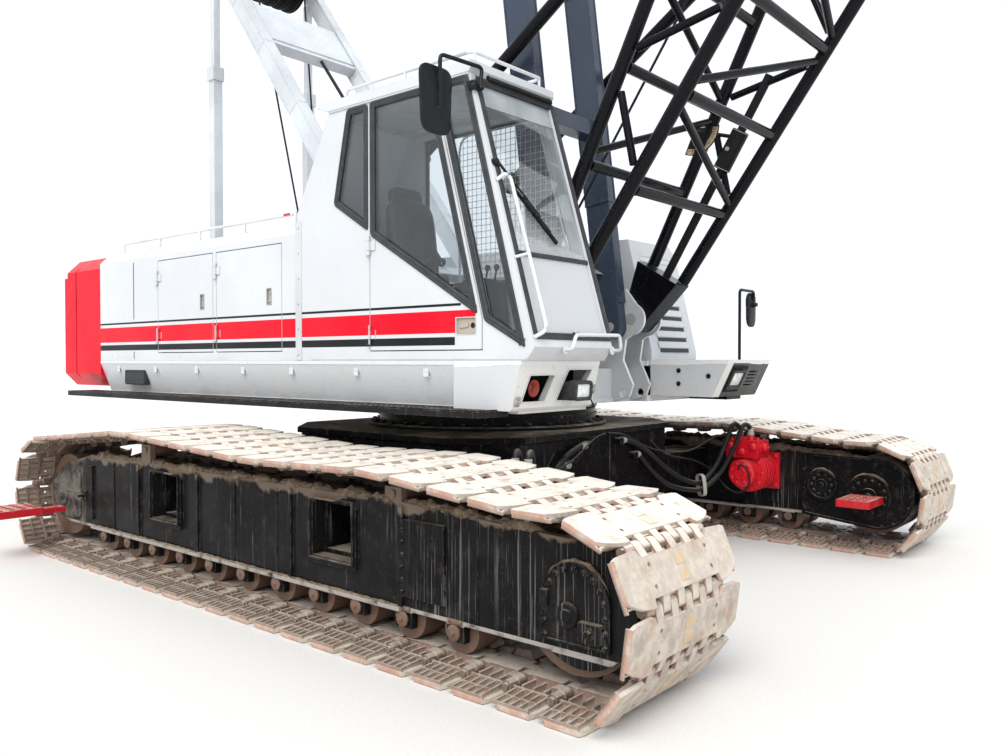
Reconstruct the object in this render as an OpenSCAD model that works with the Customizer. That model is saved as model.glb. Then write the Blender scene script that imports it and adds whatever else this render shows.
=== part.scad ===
// Crawler crane with a lattice boom: origin on the ground under the slew
// centre, +X to the boom, +Y to the crane's left, +Z up, all in millimetres.

/* [Tracks] */
// Distance between the centre lines of the two tracks
track_gauge = 4010; // [3900:10:4200]
// Width of a track shoe
shoe_w = 914; // [760:2:960]
// Number of shoes in one track
shoe_count = 49; // [46:1:52]
// Depth from the sole of a shoe to its pin line
sole_d = 50; // [45:1:55]
// Depth from the pin line to the inner face of a shoe
shoe_in = 30; // [24:1:34]
// Gap between the soles of neighbouring shoes
shoe_gap = 14; // [8:1:20]
// Width of the guide lug inside each shoe
guide_w = 90; // [70:2:100]
// Depth of the guide lug under the shoe's inner face
guide_d = 34; // [24:1:36]
// Distance of the tumbler and the idler from the slew centre
tumbler_x = 2430; // [2400:5:2450]
// Height of the tumbler and idler axles
tumbler_z = 430; // [420:1:440]
// Radius of the drive tumbler
tumbler_r = 300; // [270:2:304]
// Radius of the bottom rollers
roller_r = 110; // [100:1:112]
// Number of bottom rollers under one frame
roller_count = 11; // [9:1:12]

/* [Side frames] */
// Width of a side frame over its webs
frame_w = 490; // [440:10:520]
// Height of the frame box's underside
frame_z0 = 305; // [303:1:320]
// Height of the frame box's top
frame_z1 = 770; // [745:5:775]
// Thickness of a frame web
web_t = 40; // [25:1:50]
// Distance of the axle beams from the slew centre
axle_x = 870; // [820:10:900]
// Length of an axle beam's section along the crane
axle_w = 330; // [280:10:340]
// Height of an axle beam's section
axle_h = 300; // [240:10:304]
// Height of an axle beam's underside
axle_z = 415; // [400:1:425]

/* [Carbody] */
// Half length of the carbody
carbody_x = 1080; // [1040:10:1200]
// Half width of the carbody
carbody_y = 1250; // [1100:10:1400]
// Height of the carbody's underside
carbody_z0 = 360; // [330:5:400]
// Height of the carbody's top
carbody_z1 = 985; // [960:5:995]
// Outer radius of the slew ring
ring_r = 857; // [800:1:900]
// Height of the underside of the turntable
deck_z = 1155; // [1140:1:1170]

/* [House] */
// Half width of the upper works
house_y = 1500; // [1450:5:1550]
// Height of the lower edge of the house panels
floor_z = 1475; // [1450:5:1500]
// Height of the house's upper side edge
house_z = 2430; // [2300:5:2500]
// Width of the roof's chamfer
roof_c = 90; // [60:5:120]
// Distance of the house's rear wall behind the slew centre
house_rear = 3420; // [3300:5:3500]
// Thickness of a house wall or door
wall_t = 40; // [25:1:50]
// Clear space around a door
door_gap = 6; // [5:1:10]
// Inner face of the house walls beside the winches
house_in = 760; // [740:5:800]
// Length of the counterweight
weight_l = 740; // [600:5:800]
// Depth of the groove between the counterweight's slabs
weight_groove = 35; // [20:1:50]

/* [Cab] */
// Thickness of the cab walls
cab_t = 45; // [35:1:55]
// Inner side of the cab, beside the boom
cab_in = 730; // [725:5:755]
// Height of the cab roof
cab_roof_z = 3145; // [3000:5:3200]
// Place of the cab door's hinge line
cab_hinge_x = 306; // [304:1:309]
// Thickness of a window pane
glass_t = 6; // [4:1:8]

/* [Boom] */
// Distance of the boom foot pin in front of the slew centre
boom_x = 1050; // [1040:1:1060]
// Height of the boom foot pin
boom_z = 1790; // [1780:1:1800]
// Angle of the boom over the horizontal at rest
boom_deg = 59.15; // [50:0.05:65]
// Length of a boom section
section_l = 6100; // [6000:10:6200]
// Half width between the boom chords
boom_y = 645; // [635:1:650]
// Half depth between the boom chords at their deepest
boom_h = 610; // [560:5:640]
// Half depth between the boom chords at the foot
boom_foot_h = 115; // [105:1:130]
// Radius of a boom chord
chord_r = 44.5; // [40:0.5:48]
// Radius of a boom cross member
cross_r = 35; // [28:1:38]
// Radius of the lacing
lace_r = 25; // [20:1:28]
// Angle by which the boom rises from its rest to its stops
luff_up = 22; // [20:0.5:24]
// Spacing of the boom's panels
panel_l = 610; // [580:5:640]
// Radius of the boom foot pins
boom_pin_r = 45; // [38:1:46]

/* [Mast] */
// Distance of the mast foot pin in front of the slew centre
mast_x = 930; // [925:1:935]
// Height of the mast foot pin
mast_z = 1730; // [1725:1:1735]
// Angle of the mast at rest
mast_deg = 97.1; // [92:0.1:100]
// Length of the mast
mast_l = 7300; // [7000:50:7500]
// Depth of a mast leg
mast_d = 210; // [180:2:214]
// Width of a mast leg
mast_w = 92; // [80:1:96]
// Radius of the mast foot pins
mast_pin_r = 35; // [30:1:38]

/* [Gantry] */
// Distance of the gantry apex behind the slew centre
gantry_x = 3020; // [2950:5:3100]
// Height of the gantry apex
gantry_z = 5410; // [5200:5:5600]
// Place of the gantry's front feet behind the slew centre
gantry_foot_x = 70; // [50:5:90]
// Distance of the gantry legs from the middle
gantry_y = 550; // [545:1:560]
// Depth of a front gantry leg
gantry_d = 160; // [140:2:180]
// Width of a gantry leg
gantry_w = 90; // [80:1:92]

/* [Details] */
// Clear play between pieces that lie on each other
seat_gap = 0.3; // [0.2:0.1:0.5]
// Width of the catwalks
walk_w = 260; // [220:5:300]
// Thickness of the catwalks
walk_t = 35; // [30:1:40]
// Radius of the hydraulic hoses
hose_r = 19; // [15:1:22]

/* [Hidden] */
steel_black = [0.05, 0.05, 0.06];
paint_white = [0.9, 0.91, 0.92];
paint_grey = [0.68, 0.69, 0.7];
paint_red = [0.75, 0.05, 0.06];
worn_steel = [0.55, 0.46, 0.38];
mast_blue = [0.12, 0.15, 0.2];

// A profile drawn in X and Z, carried along Y from y0 to y1.
module across(y0, y1) {
    translate([0, y1, 0])
        rotate([90, 0, 0])
            linear_extrude(y1 - y0)
                children();
}

// A profile drawn in Y and Z, carried along X from x0 to x1.
module lengthwise(x0, x1) {
    translate([x0, 0, 0])
        rotate([90, 0, 90])
            linear_extrude(x1 - x0)
                children();
}

// A box from its lowest to its highest corner.
module box(low, high) {
    translate(low)
        cube(high - low);
}

// A round bar from point a to point b.
module bar(a, b, r) {
    run = b - a;
    span = norm(run);
    translate(a)
        rotate([0, acos(run.z / span), atan2(run.y, run.x)])
            cylinder(h = span, r = r, $fn = 32);
}

// A round bar across the crane, from y0 to y1.
module cross_bar(x, z, y0, y1, r) {
    bar([x, y0, z], [x, y1, z], r);
}

// Both sides of the crane: right as drawn, left mirrored.
module both_sides() {
    children();
    mirror([0, 1, 0])
        children();
}

// The track's pin line, counter-clockwise from the front of the sole.
belly_x = tumbler_x + 210;
pin_path = [
    [belly_x, sole_d], [belly_x + 150, 255], [belly_x + 188, 464],
    [belly_x + 136, 691], [belly_x - 90, 812], [belly_x - 340, 808],
    [1330, 906], [330, 884], [-1160, 961], [-2530, 841],
    [-belly_x - 85, 730], [-belly_x - 172, 520],
    [-belly_x - 150, 280], [-belly_x - 10, sole_d]
];
function wrap(i) = pin_path[i % len(pin_path)];
function leg(i) = norm(wrap(i + 1) - wrap(i));
function lap(i) = i < 0 ? 0 : lap(i - 1) + leg(i);
track_len = lap(len(pin_path) - 1);
shoe_l = track_len / shoe_count;
// The point at a distance s along the pin line.
function along(s, i = 0) = s <= leg(i) || i == len(pin_path) - 1
    ? wrap(i) + (wrap(i + 1) - wrap(i)) * s / leg(i)
    : along(s - leg(i), i + 1);
pins = [for (i = [0 : shoe_count - 1]) along(i * shoe_l)];
function pin(i) = pins[(i + shoe_count) % shoe_count];
function run_of(i) = (pin(i + 1) - pin(i)) / norm(pin(i + 1) - pin(i));
function out_of(i) = [run_of(i).y, -run_of(i).x];
function mid_of(i) = (pin(i) + pin(i + 1)) / 2;
notch = 18;

// One endless track: the closed loop of shoes with their guide lugs.
module track() {
    outer = [
        for (i = [0 : shoe_count - 1])
            each [
                pin(i) + run_of(i) * shoe_gap / 2 + out_of(i) * notch,
                pin(i) + run_of(i) * (shoe_gap / 2 + 22) + out_of(i) * sole_d,
                pin(i + 1) - run_of(i) * (shoe_gap / 2 + 22) + out_of(i) * sole_d,
                pin(i + 1) - run_of(i) * shoe_gap / 2 + out_of(i) * notch
            ]
    ];
    inner = [
        for (i = [0 : shoe_count - 1])
            pin(i) - (out_of(i) + out_of(i - 1)) / norm(out_of(i) + out_of(i - 1)) * shoe_in
    ];
    across(-shoe_w / 2, shoe_w / 2)
        difference() {
            polygon(outer);
            polygon(inner);
        }
    across(-guide_w / 2, guide_w / 2)
        for (i = [0 : shoe_count - 1])
            polygon([
                mid_of(i) - run_of(i) * 62 - out_of(i) * (shoe_in - 4),
                mid_of(i) + run_of(i) * 62 - out_of(i) * (shoe_in - 4),
                mid_of(i) + run_of(i) * 38 - out_of(i) * (shoe_in + guide_d),
                mid_of(i) - run_of(i) * 38 - out_of(i) * (shoe_in + guide_d)
            ]);
}

module track_right() {
    color(worn_steel)
        translate([0, -track_gauge / 2, 0])
            track();
}

module track_left() {
    color(worn_steel)
        translate([0, track_gauge / 2, 0])
            track();
}

roller_z = sole_d + shoe_in + roller_r + seat_gap;
roller_xs = [for (i = [0 : roller_count - 1]) -1760 + i * 3520 / (roller_count - 1)];
roller_pin_r = 32;
// Carrier rollers under the top run: x, height of the pin line there.
carriers = [[1330, 906], [-1160, 961]];
carrier_r = 55;
carrier_pin_r = 20;
function carrier_z(c) = c.y - shoe_in - carrier_r - 14;
groove_w = guide_w + 14;
idler_r = 312;
// Depth of the frame's box below the top edges of its webs.
box_drop = 40;

// Round front end of the webs and of the gear case: x past the tumbler, z.
nose_at = [tumbler_x + 50, 455];
nose_r = 275;
cover_t = 20;
// A side frame: box, webs with a bearing tab at each roller, fork ends and,
// on its outer side, the cover of the tumbler's axle.
module side_frame(outer) {
    half = frame_w / 2;
    difference() {
        union() {
            across(-half + web_t, half - web_t)
                polygon([
                    [-1940, frame_z0], [1700, frame_z0], [1700, frame_z1 - box_drop],
                    [-1940, frame_z1 - box_drop]
                ]);
            across(outer * (half + cover_t / 2) - cover_t / 2,
                   outer * (half + cover_t / 2) + cover_t / 2) {
                translate([tumbler_x + 30, tumbler_z + 25])
                    circle(r = 175, $fn = 64);
                translate([tumbler_x - 145, 280])
                    square([350, tumbler_z - 255]);
            }
            for (side = [-half, half - web_t])
                across(side, side + web_t)
                    difference() {
                        union() {
                            polygon([
                                [-2480, 260], [-2340, 230], [2430, 230],
                                [nose_at.x, nose_at.y + nose_r - 10], [1400, frame_z1],
                                [-1980, frame_z1], [-2380, frame_z1 - 90],
                                [-2640, 560], [-2640, 400]
                            ]);
                            translate(nose_at)
                                circle(r = nose_r, $fn = 64);
                            for (x = roller_xs)
                                translate([x - 55, roller_z - 45])
                                    square([110, 130]);
                            for (c = carriers)
                                translate([c.x - 60, frame_z1 - 20])
                                    square([120, carrier_z(c) - frame_z1 + 55]);
                        }
                        for (x = roller_xs)
                            translate([x, roller_z])
                                circle(r = roller_pin_r + seat_gap, $fn = 32);
                        for (c = carriers)
                            translate([c.x, carrier_z(c)])
                                circle(r = carrier_pin_r + seat_gap, $fn = 32);
                        for (x = [-tumbler_x, tumbler_x])
                            translate([x, tumbler_z])
                                circle(r = 70 + seat_gap, $fn = 48);
                    }
            for (side = [-1, 1])
                box([-1940, side * (half + 14) - 14, 228],
                    [1400, side * (half + 14) + 14, 250]);
            for (x = [-axle_x, axle_x])
                box([x - axle_w / 2 - 30, -half - 22, axle_z - 42],
                    [x + axle_w / 2 + 30, half + 22, axle_z + axle_h - 12]);
            for (x = [-1250, -490, 490, 1395])
                for (side = [-1, 1])
                    box([x - 14, side * (half + 9) - 9, 250],
                        [x + 14, side * (half + 9) + 9, frame_z1 - 20]);
            box([1395, -half - case_out, frame_z0], [1700, half + case_out, 690]);
            box([-2090, -half - 16, 290], [-1940, half + 16, 690]);
        }
        for (x = [-axle_x, axle_x])
            box([x - axle_w / 2 - seat_gap, -half - 60, axle_z - seat_gap],
                [x + axle_w / 2 + seat_gap, half + 60, axle_z + axle_h + seat_gap]);
    }
}

module side_frame_right() {
    color(steel_black)
        translate([0, -track_gauge / 2, 0])
            side_frame(-1);
}

module side_frame_left() {
    color(steel_black)
        translate([0, track_gauge / 2, 0])
            side_frame(1);
}

// A double-flanged roller on its shaft.
module roller(x, z, r, shaft_r, past = 8) {
    half = frame_w / 2 - web_t - 4;
    difference() {
        cross_bar(x, z, -half, half, r);
        across(-groove_w / 2, groove_w / 2)
            difference() {
                translate([x, z])
                    circle(r = r + 5, $fn = 32);
                translate([x, z])
                    circle(r = r - 54 > shaft_r ? r - 54 : shaft_r, $fn = 32);
            }
    }
    cross_bar(x, z, -frame_w / 2 - past, frame_w / 2 + past, shaft_r);
}

module track_rollers() {
    color(worn_steel)
        for (side = [-1, 1])
            translate([0, side * track_gauge / 2, 0]) {
                for (x = roller_xs)
                    roller(x, roller_z, roller_r, roller_pin_r);
                for (c = carriers)
                    roller(c.x, carrier_z(c), carrier_r, carrier_pin_r);
            }
}

module drive_tumblers() {
    color(steel_black)
        for (side = [-1, 1])
            translate([0, side * track_gauge / 2, 0])
                roller(tumbler_x, tumbler_z, tumbler_r, 70, -2);
}

module idler_wheels() {
    color(worn_steel)
        for (side = [-1, 1])
            translate([0, side * track_gauge / 2, 0])
                roller(-tumbler_x, tumbler_z, idler_r, 70);
}

// The car body: a low welded box, four hollow axle arms, a raised hub.
module carbody() {
    corner = 330;
    arm_end = track_gauge / 2 + frame_w / 2 - 60;
    color(steel_black)
        difference() {
            union() {
                translate([0, 0, carbody_z0])
                    linear_extrude(carbody_z1 - carbody_z0 - 40)
                        polygon([
                            [-carbody_x, -carbody_y + corner], [-carbody_x + corner, -carbody_y],
                            [carbody_x - corner, -carbody_y], [carbody_x, -carbody_y + corner],
                            [carbody_x, carbody_y - corner], [carbody_x - corner, carbody_y],
                            [-carbody_x + corner, carbody_y], [-carbody_x, carbody_y - corner]
                        ]);
                translate([0, 0, carbody_z1 - 40])
                    linear_extrude(40)
                        polygon([
                            [-carbody_x - 40, -carbody_y + corner], [-carbody_x + corner, -carbody_y - 40],
                            [carbody_x - corner, -carbody_y - 40], [carbody_x + 40, -carbody_y + corner],
                            [carbody_x + 40, carbody_y - corner], [carbody_x - corner, carbody_y + 40],
                            [-carbody_x + corner, carbody_y + 40], [-carbody_x - 40, carbody_y - corner]
                        ]);
                for (x = [-axle_x, axle_x])
                    box([x - axle_w / 2, -arm_end, axle_z], [x + axle_w / 2, arm_end, axle_z + axle_h]);
                both_sides()
                    for (root = hose_roots)
                        bar([carbody_x - 10, -root.x, root.y], [hose_x + 30, -root.x, root.y], fitting_r);
            }
            for (x = [-axle_x, axle_x])
                for (side = [-1, 1])
                    box([x - axle_w / 2 + 25, side * (arm_end - 350) - 351, axle_z + 25],
                        [x + axle_w / 2 - 25, side * (arm_end - 350) + 351, axle_z + axle_h - 25]);
            translate([0, 0, carbody_z0 - 1])
                cylinder(h = 800, r = 260, $fn = 64);
        }
}

race_r = ring_r - 110;
module slew_ring_outer() {
    color(steel_black)
        translate([0, 0, carbody_z1])
            difference() {
                cylinder(h = deck_z - carbody_z1 - 40, r = ring_r, $fn = 128);
                translate([0, 0, -1])
                    cylinder(h = 400, r = race_r, $fn = 128);
            }
}

module slew_ring_inner() {
    color(steel_black)
        difference() {
            union() {
                translate([0, 0, deck_z - 30])
                    cylinder(h = 30, r = ring_r + 12, $fn = 128);
                translate([0, 0, carbody_z1 + 12])
                    cylinder(h = deck_z - carbody_z1 - 12, r = race_r - 1, $fn = 128);
            }
            translate([0, 0, carbody_z1])
                cylinder(h = 400, r = 520, $fn = 96);
        }
}

// Gear case inside the front of each frame, with its two round covers.
case_out = 18;
motor_face = -(track_gauge - frame_w) / 2;
drive_case_t = 80;
// Round covers of the gear case: x, z, radius.
drive_covers = [[tumbler_x, tumbler_z, 165], [2070, 490, 118]];
module final_drives() {
    color(steel_black)
        both_sides() {
            across(motor_face + seat_gap, motor_face + drive_case_t) {
                translate(nose_at)
                    circle(r = nose_r, $fn = 64);
                polygon([
                    [1905, 240], [nose_at.x, nose_at.y - nose_r],
                    [nose_at.x, nose_at.y + nose_r - 10], [1905, frame_z1 - 35]
                ]);
            }
            for (c = drive_covers)
                cross_bar(c.x, c.y, motor_face + drive_case_t - 1,
                          motor_face + drive_case_t + cover_t, c.z);
        }
}

// Travel motor inside each frame: square flange, round body, valve block
// on top and the two ports of the hoses.
motor_x = 1530;
motor_z = 565;
flange_w = 330;
port_z = 870;
module travel_motors() {
    color(paint_red)
        both_sides() {
            box([1700 - flange_w, motor_face + case_out + seat_gap, motor_z - 150],
                [1700, motor_face + 50, motor_z + 150]);
            cross_bar(motor_x, motor_z, motor_face + 49, motor_face + 300, 150);
            cross_bar(motor_x, motor_z, motor_face + 299, motor_face + 390, 110);
            box([motor_x - 160, motor_face + 120, motor_z + 120],
                [motor_x + 110, motor_face + 340, port_z - 40]);
            for (route = hose_routes)
                translate([route[len(route) - 1].x, route[len(route) - 1].y, port_z - 41])
                    cylinder(h = 41, r = 24, $fn = 32);
        }
}

// Hoses from the carbody's front to the motor: x, share of the way, z.
hose_x = carbody_x + 25;
fitting_r = 28;
// Fittings of the hoses on the carbody: distance from the middle, z.
hose_roots = [[200, 885], [400, 765]];
inner_hose = [
    [hose_x, 0, 885], [hose_x, 0.034, 885], [1112, 0.107, 868], [1118, 0.205, 825],
    [1135, 0.319, 745], [1175, 0.466, 620], [1235, 0.621, 520], [1300, 0.727, 500],
    [1365, 0.808, 610], [1400, 0.866, 740], [1420, 0.902, 840], [1430, 0.923, 900],
    [1437, 0.935, 940], [1452, 0.962, 958], [1467, 0.988, 940], [1475, 1, 905],
    [1475, 1, port_z + seat_gap]
];
outer_hose = [
    [hose_x, 0, 765], [hose_x, 0.041, 765], [1120, 0.109, 700], [1140, 0.206, 610],
    [1185, 0.352, 505], [1250, 0.537, 450], [1320, 0.674, 452], [1395, 0.786, 555],
    [1450, 0.839, 680], [1495, 0.878, 800], [1523, 0.907, 900], [1530, 0.922, 940],
    [1545, 0.954, 958], [1560, 0.985, 940], [1568, 1, 905], [1568, 1, port_z + seat_gap]
];
function across_to(row, y0, y1) = [row.x, y0 + (y1 - y0) * row.y, row.z];
function from_root(i) = -hose_roots[i].x - fitting_r - seat_gap;
hose_routes = [
    [for (row = inner_hose) across_to(row, from_root(0), motor_face + 305)],
    [for (row = outer_hose) across_to(row, from_root(1), motor_face + 305)]
];

// A tube swept along a list of points, with a ring at each of them.
module swept_tube(route, r, sides = 10) {
    n = len(route);
    function way(i) = route[min(i + 1, n - 1)] - route[max(i - 1, 0)];
    rings = [
        for (i = [0 : n - 1])
            let (t = way(i) / norm(way(i)),
                 u = cross(t, [1, 0, 0]) / norm(cross(t, [1, 0, 0])),
                 v = cross(t, u))
                for (k = [0 : sides - 1])
                    route[i] + r * (cos(360 * k / sides) * u + sin(360 * k / sides) * v)
    ];
    polyhedron(rings, concat(
        [[for (k = [0 : sides - 1]) k]],
        [for (i = [0 : n - 2]) for (k = [0 : sides - 1])
            [i * sides + k, (i + 1) * sides + k,
             (i + 1) * sides + (k + 1) % sides, i * sides + (k + 1) % sides]],
        [[for (k = [sides - 1 : -1 : 0]) (n - 1) * sides + k]]
    ));
}

module travel_hoses() {
    color(steel_black)
        both_sides()
            for (route = hose_routes)
                swept_tube(route, hose_r);
}

// A step: a perforated plate with turned-down edges, low corner and size.
module step_plate(low, long, deep) {
    edge = 12;
    difference() {
        box(low, low + [long, deep, 55]);
        box(low + [edge, edge, -1], low + [long - edge, deep - edge, 55 - edge]);
        for (x = [45 : (long - 90) / 3 : long - 44])
            for (y = [45 : (deep - 90) / 3 : deep - 44])
                translate(low + [x, y, 10])
                    cylinder(h = 50, r = 15, $fn = 16);
    }
}

// Steps inside the front of each frame and outside its rear, on an arm.
step_reach = 220;
module track_steps() {
    outer_face = -(track_gauge + frame_w) / 2;
    color(paint_red)
        both_sides() {
            step_plate([2300, motor_face + drive_case_t + cover_t + seat_gap, 385], 240, 340);
            step_plate([-2620, outer_face - step_reach - 330, 315], 330, 331);
            box([-2500, outer_face - step_reach, 300], [-2400, outer_face - seat_gap, 340]);
        }
}

// The inner frame plate that carries the pins, and the outer one's nose.
deck_t = 40;
deck_nose = 900;
module frame_plate(tall) {
    low = tall ? deck_z + deck_t + seat_gap : deck_z;
    difference() {
        union() {
            polygon([
                [-house_rear, low], [deck_nose + seat_gap, low], [deck_nose + seat_gap, deck_z],
                [1040, 1200], [1075, 1290],
                [985, 1480], [1010, 1640], [1150, 1720], [1170, 1790],
                [1120, 1880], [1010, tall ? 2020 : 1890], [905, tall ? 2020 : 1890],
                [780, 1900], [560, tall ? 1830 : 1475], [-2500, tall ? 1830 : 1475],
                [-2700, floor_z - 40], [-house_rear, floor_z - 40]
            ]);
            translate([boom_x, boom_z])
                circle(r = 122, $fn = 64);
        }
        translate([boom_x, boom_z])
            circle(r = boom_pin_r + 0.05, $fn = 64);
        if (tall)
            translate([mast_x, mast_z])
                circle(r = mast_pin_r + 0.05, $fn = 48);
        translate([990, 1225])
            circle(r = 32, $fn = 48);
        if (tall)
            for (d = drum_places)
                translate([d.x, d.y])
                    circle(r = 70 + seat_gap, $fn = 48);
    }
}

plate_in = 442;
plate_out = 687;
plate_t = 25;
// Winch drums: x, z, barrel radius, flange radius.
drum_places = [[40, 1640, 190, 290], [-1060, 1640, 190, 290], [-2080, 1640, 150, 240]];

module frame_plates() {
    color(paint_grey)
        both_sides() {
            across(plate_in, plate_in + plate_t)
                frame_plate(true);
            across(plate_out, plate_out + plate_t)
                frame_plate(false);
        }
}

// The deck over the slew ring with its cross walls between the plates.
module turntable_frame() {
    color(paint_grey)
        difference() {
            union() {
                box([-3380, -plate_out + seat_gap, deck_z],
                    [deck_nose, plate_out - seat_gap, deck_z + deck_t]);
                for (x = [-3380, -2300, -1500, deck_nose - 40]) {
                    box([x, -plate_in + seat_gap, deck_z + deck_t - 1],
                        [x + 25, plate_in - seat_gap, floor_z - 60]);
                    both_sides()
                        box([x, plate_in + plate_t + seat_gap, deck_z + deck_t - 1],
                            [x + 25, plate_out - seat_gap, floor_z - 60]);
                }
            }
            translate([0, 0, deck_z - 1])
                cylinder(h = 60, r = 300, $fn = 64);
        }
}

// Boom foot and mast foot pins, held in the frame plates.
module foot_pins() {
    color(worn_steel)
        both_sides() {
            cross_bar(boom_x, boom_z, plate_in, plate_out + plate_t + 12, boom_pin_r);
            cross_bar(mast_x, mast_z, plate_in - mast_w - 22, plate_in + plate_t + 4, mast_pin_r);
        }
}

skirt_in = 95;
// Side decks: floor plate and the leaning skirt under each house side.
module side_decks() {
    color(paint_grey)
        both_sides() {
            lengthwise(-house_rear, 1040)
                polygon([
                    [plate_out + plate_t, floor_z], [plate_out + plate_t, floor_z - 40],
                    [house_y - 45, floor_z - 40], [house_y - skirt_in - 40, deck_z + 50],
                    [plate_out + plate_t, deck_z + 50], [plate_out + plate_t, deck_z],
                    [house_y - skirt_in, deck_z], [house_y - skirt_in, deck_z + 50],
                    [house_y, floor_z - 25], [house_y, floor_z]
                ]);
        }
}

module catwalks() {
    color(steel_black)
        both_sides()
            for (part = [[-3730, -1000, walk_t], [-998, 1380, walk_t]])
                difference() {
                    box([part.x, house_y - skirt_in + seat_gap, deck_z],
                        [part.y, house_y - skirt_in + walk_w, deck_z + part.z]);
                    for (x = [part.x + 300 : 600 : part.y - 300])
                        box([x, house_y - skirt_in + 40, deck_z - 1],
                            [x + 220, house_y - skirt_in + walk_w - 40, deck_z + part.z - 6]);
                }
}

module counterweight() {
    color(paint_red)
        difference() {
            lengthwise(-house_rear - weight_l, -house_rear - seat_gap)
                polygon([
                    [-house_y, floor_z - 120], [-house_y + 110, floor_z - 235],
                    [house_y - 110, floor_z - 235], [house_y, floor_z - 120],
                    [house_y, house_z - 110], [house_y - 120, house_z + 10],
                    [-house_y + 120, house_z + 10], [-house_y, house_z - 110]
                ]);
            for (side = [-1, 1])
                box([-house_rear - 505, side * house_y - weight_groove, floor_z - 300],
                    [-house_rear - 485, side * house_y + weight_groove, house_z + 60]);
            box([-house_rear - weight_l - 1, -2000, house_z - 160],
                [-house_rear - weight_l + 60, 2000, house_z + 60]);
        }
}

// Doors of the house: name, x0, x1 on the side wall; both share heights.
door_z0 = floor_z + 70;
door_z1 = house_z - 120;
right_doors = [[-2375, -1540], [-1485, -645]];
left_door = [-2850, -1600];
latch_w = 60;

// The room of a house, drawn in by a wall: its side outline, which leans
// back above the front foot, met by its section with the roof's chamfer.
house_roof = house_z + 20;
module house_form(x0, x1, front_lean, wall, low) {
    lean_z = floor_z + 80;
    bevel = roof_c + wall * (sqrt(2) - 1);
    intersection() {
        across(house_in, house_y)
            polygon([
                [x0 + wall, low], [x1 + front_lean - wall, low], [x1 + front_lean - wall, lean_z],
                [x1 - wall, house_roof], [x0 + wall, house_roof]
            ]);
        lengthwise(x0, x1 + front_lean)
            polygon([
                [house_in + wall, low], [house_y - wall, low], [house_y - wall, house_roof - bevel],
                [house_y - bevel, house_roof - wall], [house_in + wall, house_roof - wall]
            ]);
    }
}

// A house: a shell of sheet walls with a chamfered roof, open below.
module house_shell(x0, x1, front_lean) {
    difference() {
        house_form(x0, x1, front_lean, 0, floor_z);
        house_form(x0, x1, front_lean, wall_t, floor_z - 1);
    }
}

module door_hole(d) {
    box([d.x - door_gap, house_y - wall_t - 5, door_z0 - door_gap],
        [d.y + door_gap, house_y + 5, door_z1 + door_gap]);
}

module house_right() {
    color(paint_white)
        mirror([0, 1, 0]) {
            difference() {
                house_shell(-house_rear, -462, 0);
                for (d = right_doors)
                    door_hole(d);
            }
            for (d = right_doors)
                for (z = hinge_zs(door_z0, door_z1))
                    wall_knuckle(d.x - door_gap / 2, z);
        }
}

louvre_count = 9;
module house_left() {
    color(paint_white) {
        for (z = hinge_zs(door_z0, door_z1))
            wall_knuckle(left_door.x - door_gap / 2, z);
        difference() {
            house_shell(-house_rear, 830, 220);
            door_hole(left_door);
            across(house_in + 120, house_y - 120)
                for (i = [0 : louvre_count - 1])
                    translate([1040 - i * 23, floor_z + 130 + i * 88])
                        rotate([0, 0, 14])
                            square([160, 34], center = true);
        }
    }
}

module engine_block() {
    color(steel_black)
        box([-2750, house_in + wall_t + 50, floor_z], [-1500, house_y - wall_t - 50, 2180]);
}

module hoist_drums() {
    color(worn_steel)
        for (d = drum_places) {
            cross_bar(d.x, d.y, -plate_in - plate_t - 15, plate_in + plate_t + 15, 70);
            cross_bar(d.x, d.y, -plate_in + 12, plate_in - 12, d.z);
            for (side = [-1, 1])
                cross_bar(d.x, d.y, side * (plate_in - 22) - 10, side * (plate_in - 22) + 10, d[3]);
        }
}

// The right deck's leaning front: x at its foot and at its brow.
deck_foot = 1490;
deck_brow = 1554;
deck_low = deck_z + walk_t + seat_gap;
deck_back = 1040 + seat_gap;
// Leaning openings of the right deck, for the horn and for the lamp: y, z.
horn_hole = [[1168, 1391], [1395, 1391], [1432, 1240], [1224, 1240]];
lamp_hole = [[795, 1421], [1035, 1421], [1106, 1240], [899, 1240]];
// The deck under the cab, with openings for the horn and the lamp.
module front_deck_right() {
    color(paint_grey)
        mirror([0, 1, 0])
            difference() {
                union() {
                    across(plate_out + plate_t + 10, house_y)
                        polygon([
                            [deck_back, deck_low], [deck_foot - 15, deck_low],
                            [deck_foot, deck_low + 15], [deck_brow, floor_z],
                            [deck_back, floor_z]
                        ]);
                    across(plate_out + plate_t + 10, house_y - skirt_in - 5)
                        polygon([
                            [deck_back, deck_low], [deck_foot - 40, deck_low],
                            [deck_foot - 40, deck_low - 20], [deck_back, deck_low - 20]
                        ]);
                }
                across(plate_out + plate_t + 60, house_y - 50)
                    polygon([
                        [1000, deck_low + 40], [deck_foot - 38, deck_low + 40],
                        [deck_brow - 45, floor_z - 40], [1000, floor_z - 40]
                    ]);
                for (hole = [horn_hole, lamp_hole])
                    lengthwise(1400, 1700)
                        polygon(hole);
            }
}

module front_deck_left() {
    color(paint_grey)
        difference() {
            across(plate_out + plate_t + 30, house_y)
                polygon([
                    [1050 + seat_gap, deck_low + 10], [1579, deck_low + 10],
                    [1714, floor_z + 8], [1050 + seat_gap, floor_z + 8]
                ]);
            across(plate_out + plate_t + 80, house_y - 50)
                polygon([
                    [1000, deck_low + 50], [1555, deck_low + 50],
                    [1652, floor_z - 32], [1000, floor_z - 32]
                ]);
            box([1500, 890, 1255], [1800, 1115, 1415]);
            for (i = [0 : 4])
                box([1500, 1190, 1280 + i * 26], [1800, 1400, 1292 + i * 26]);
        }
}

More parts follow.
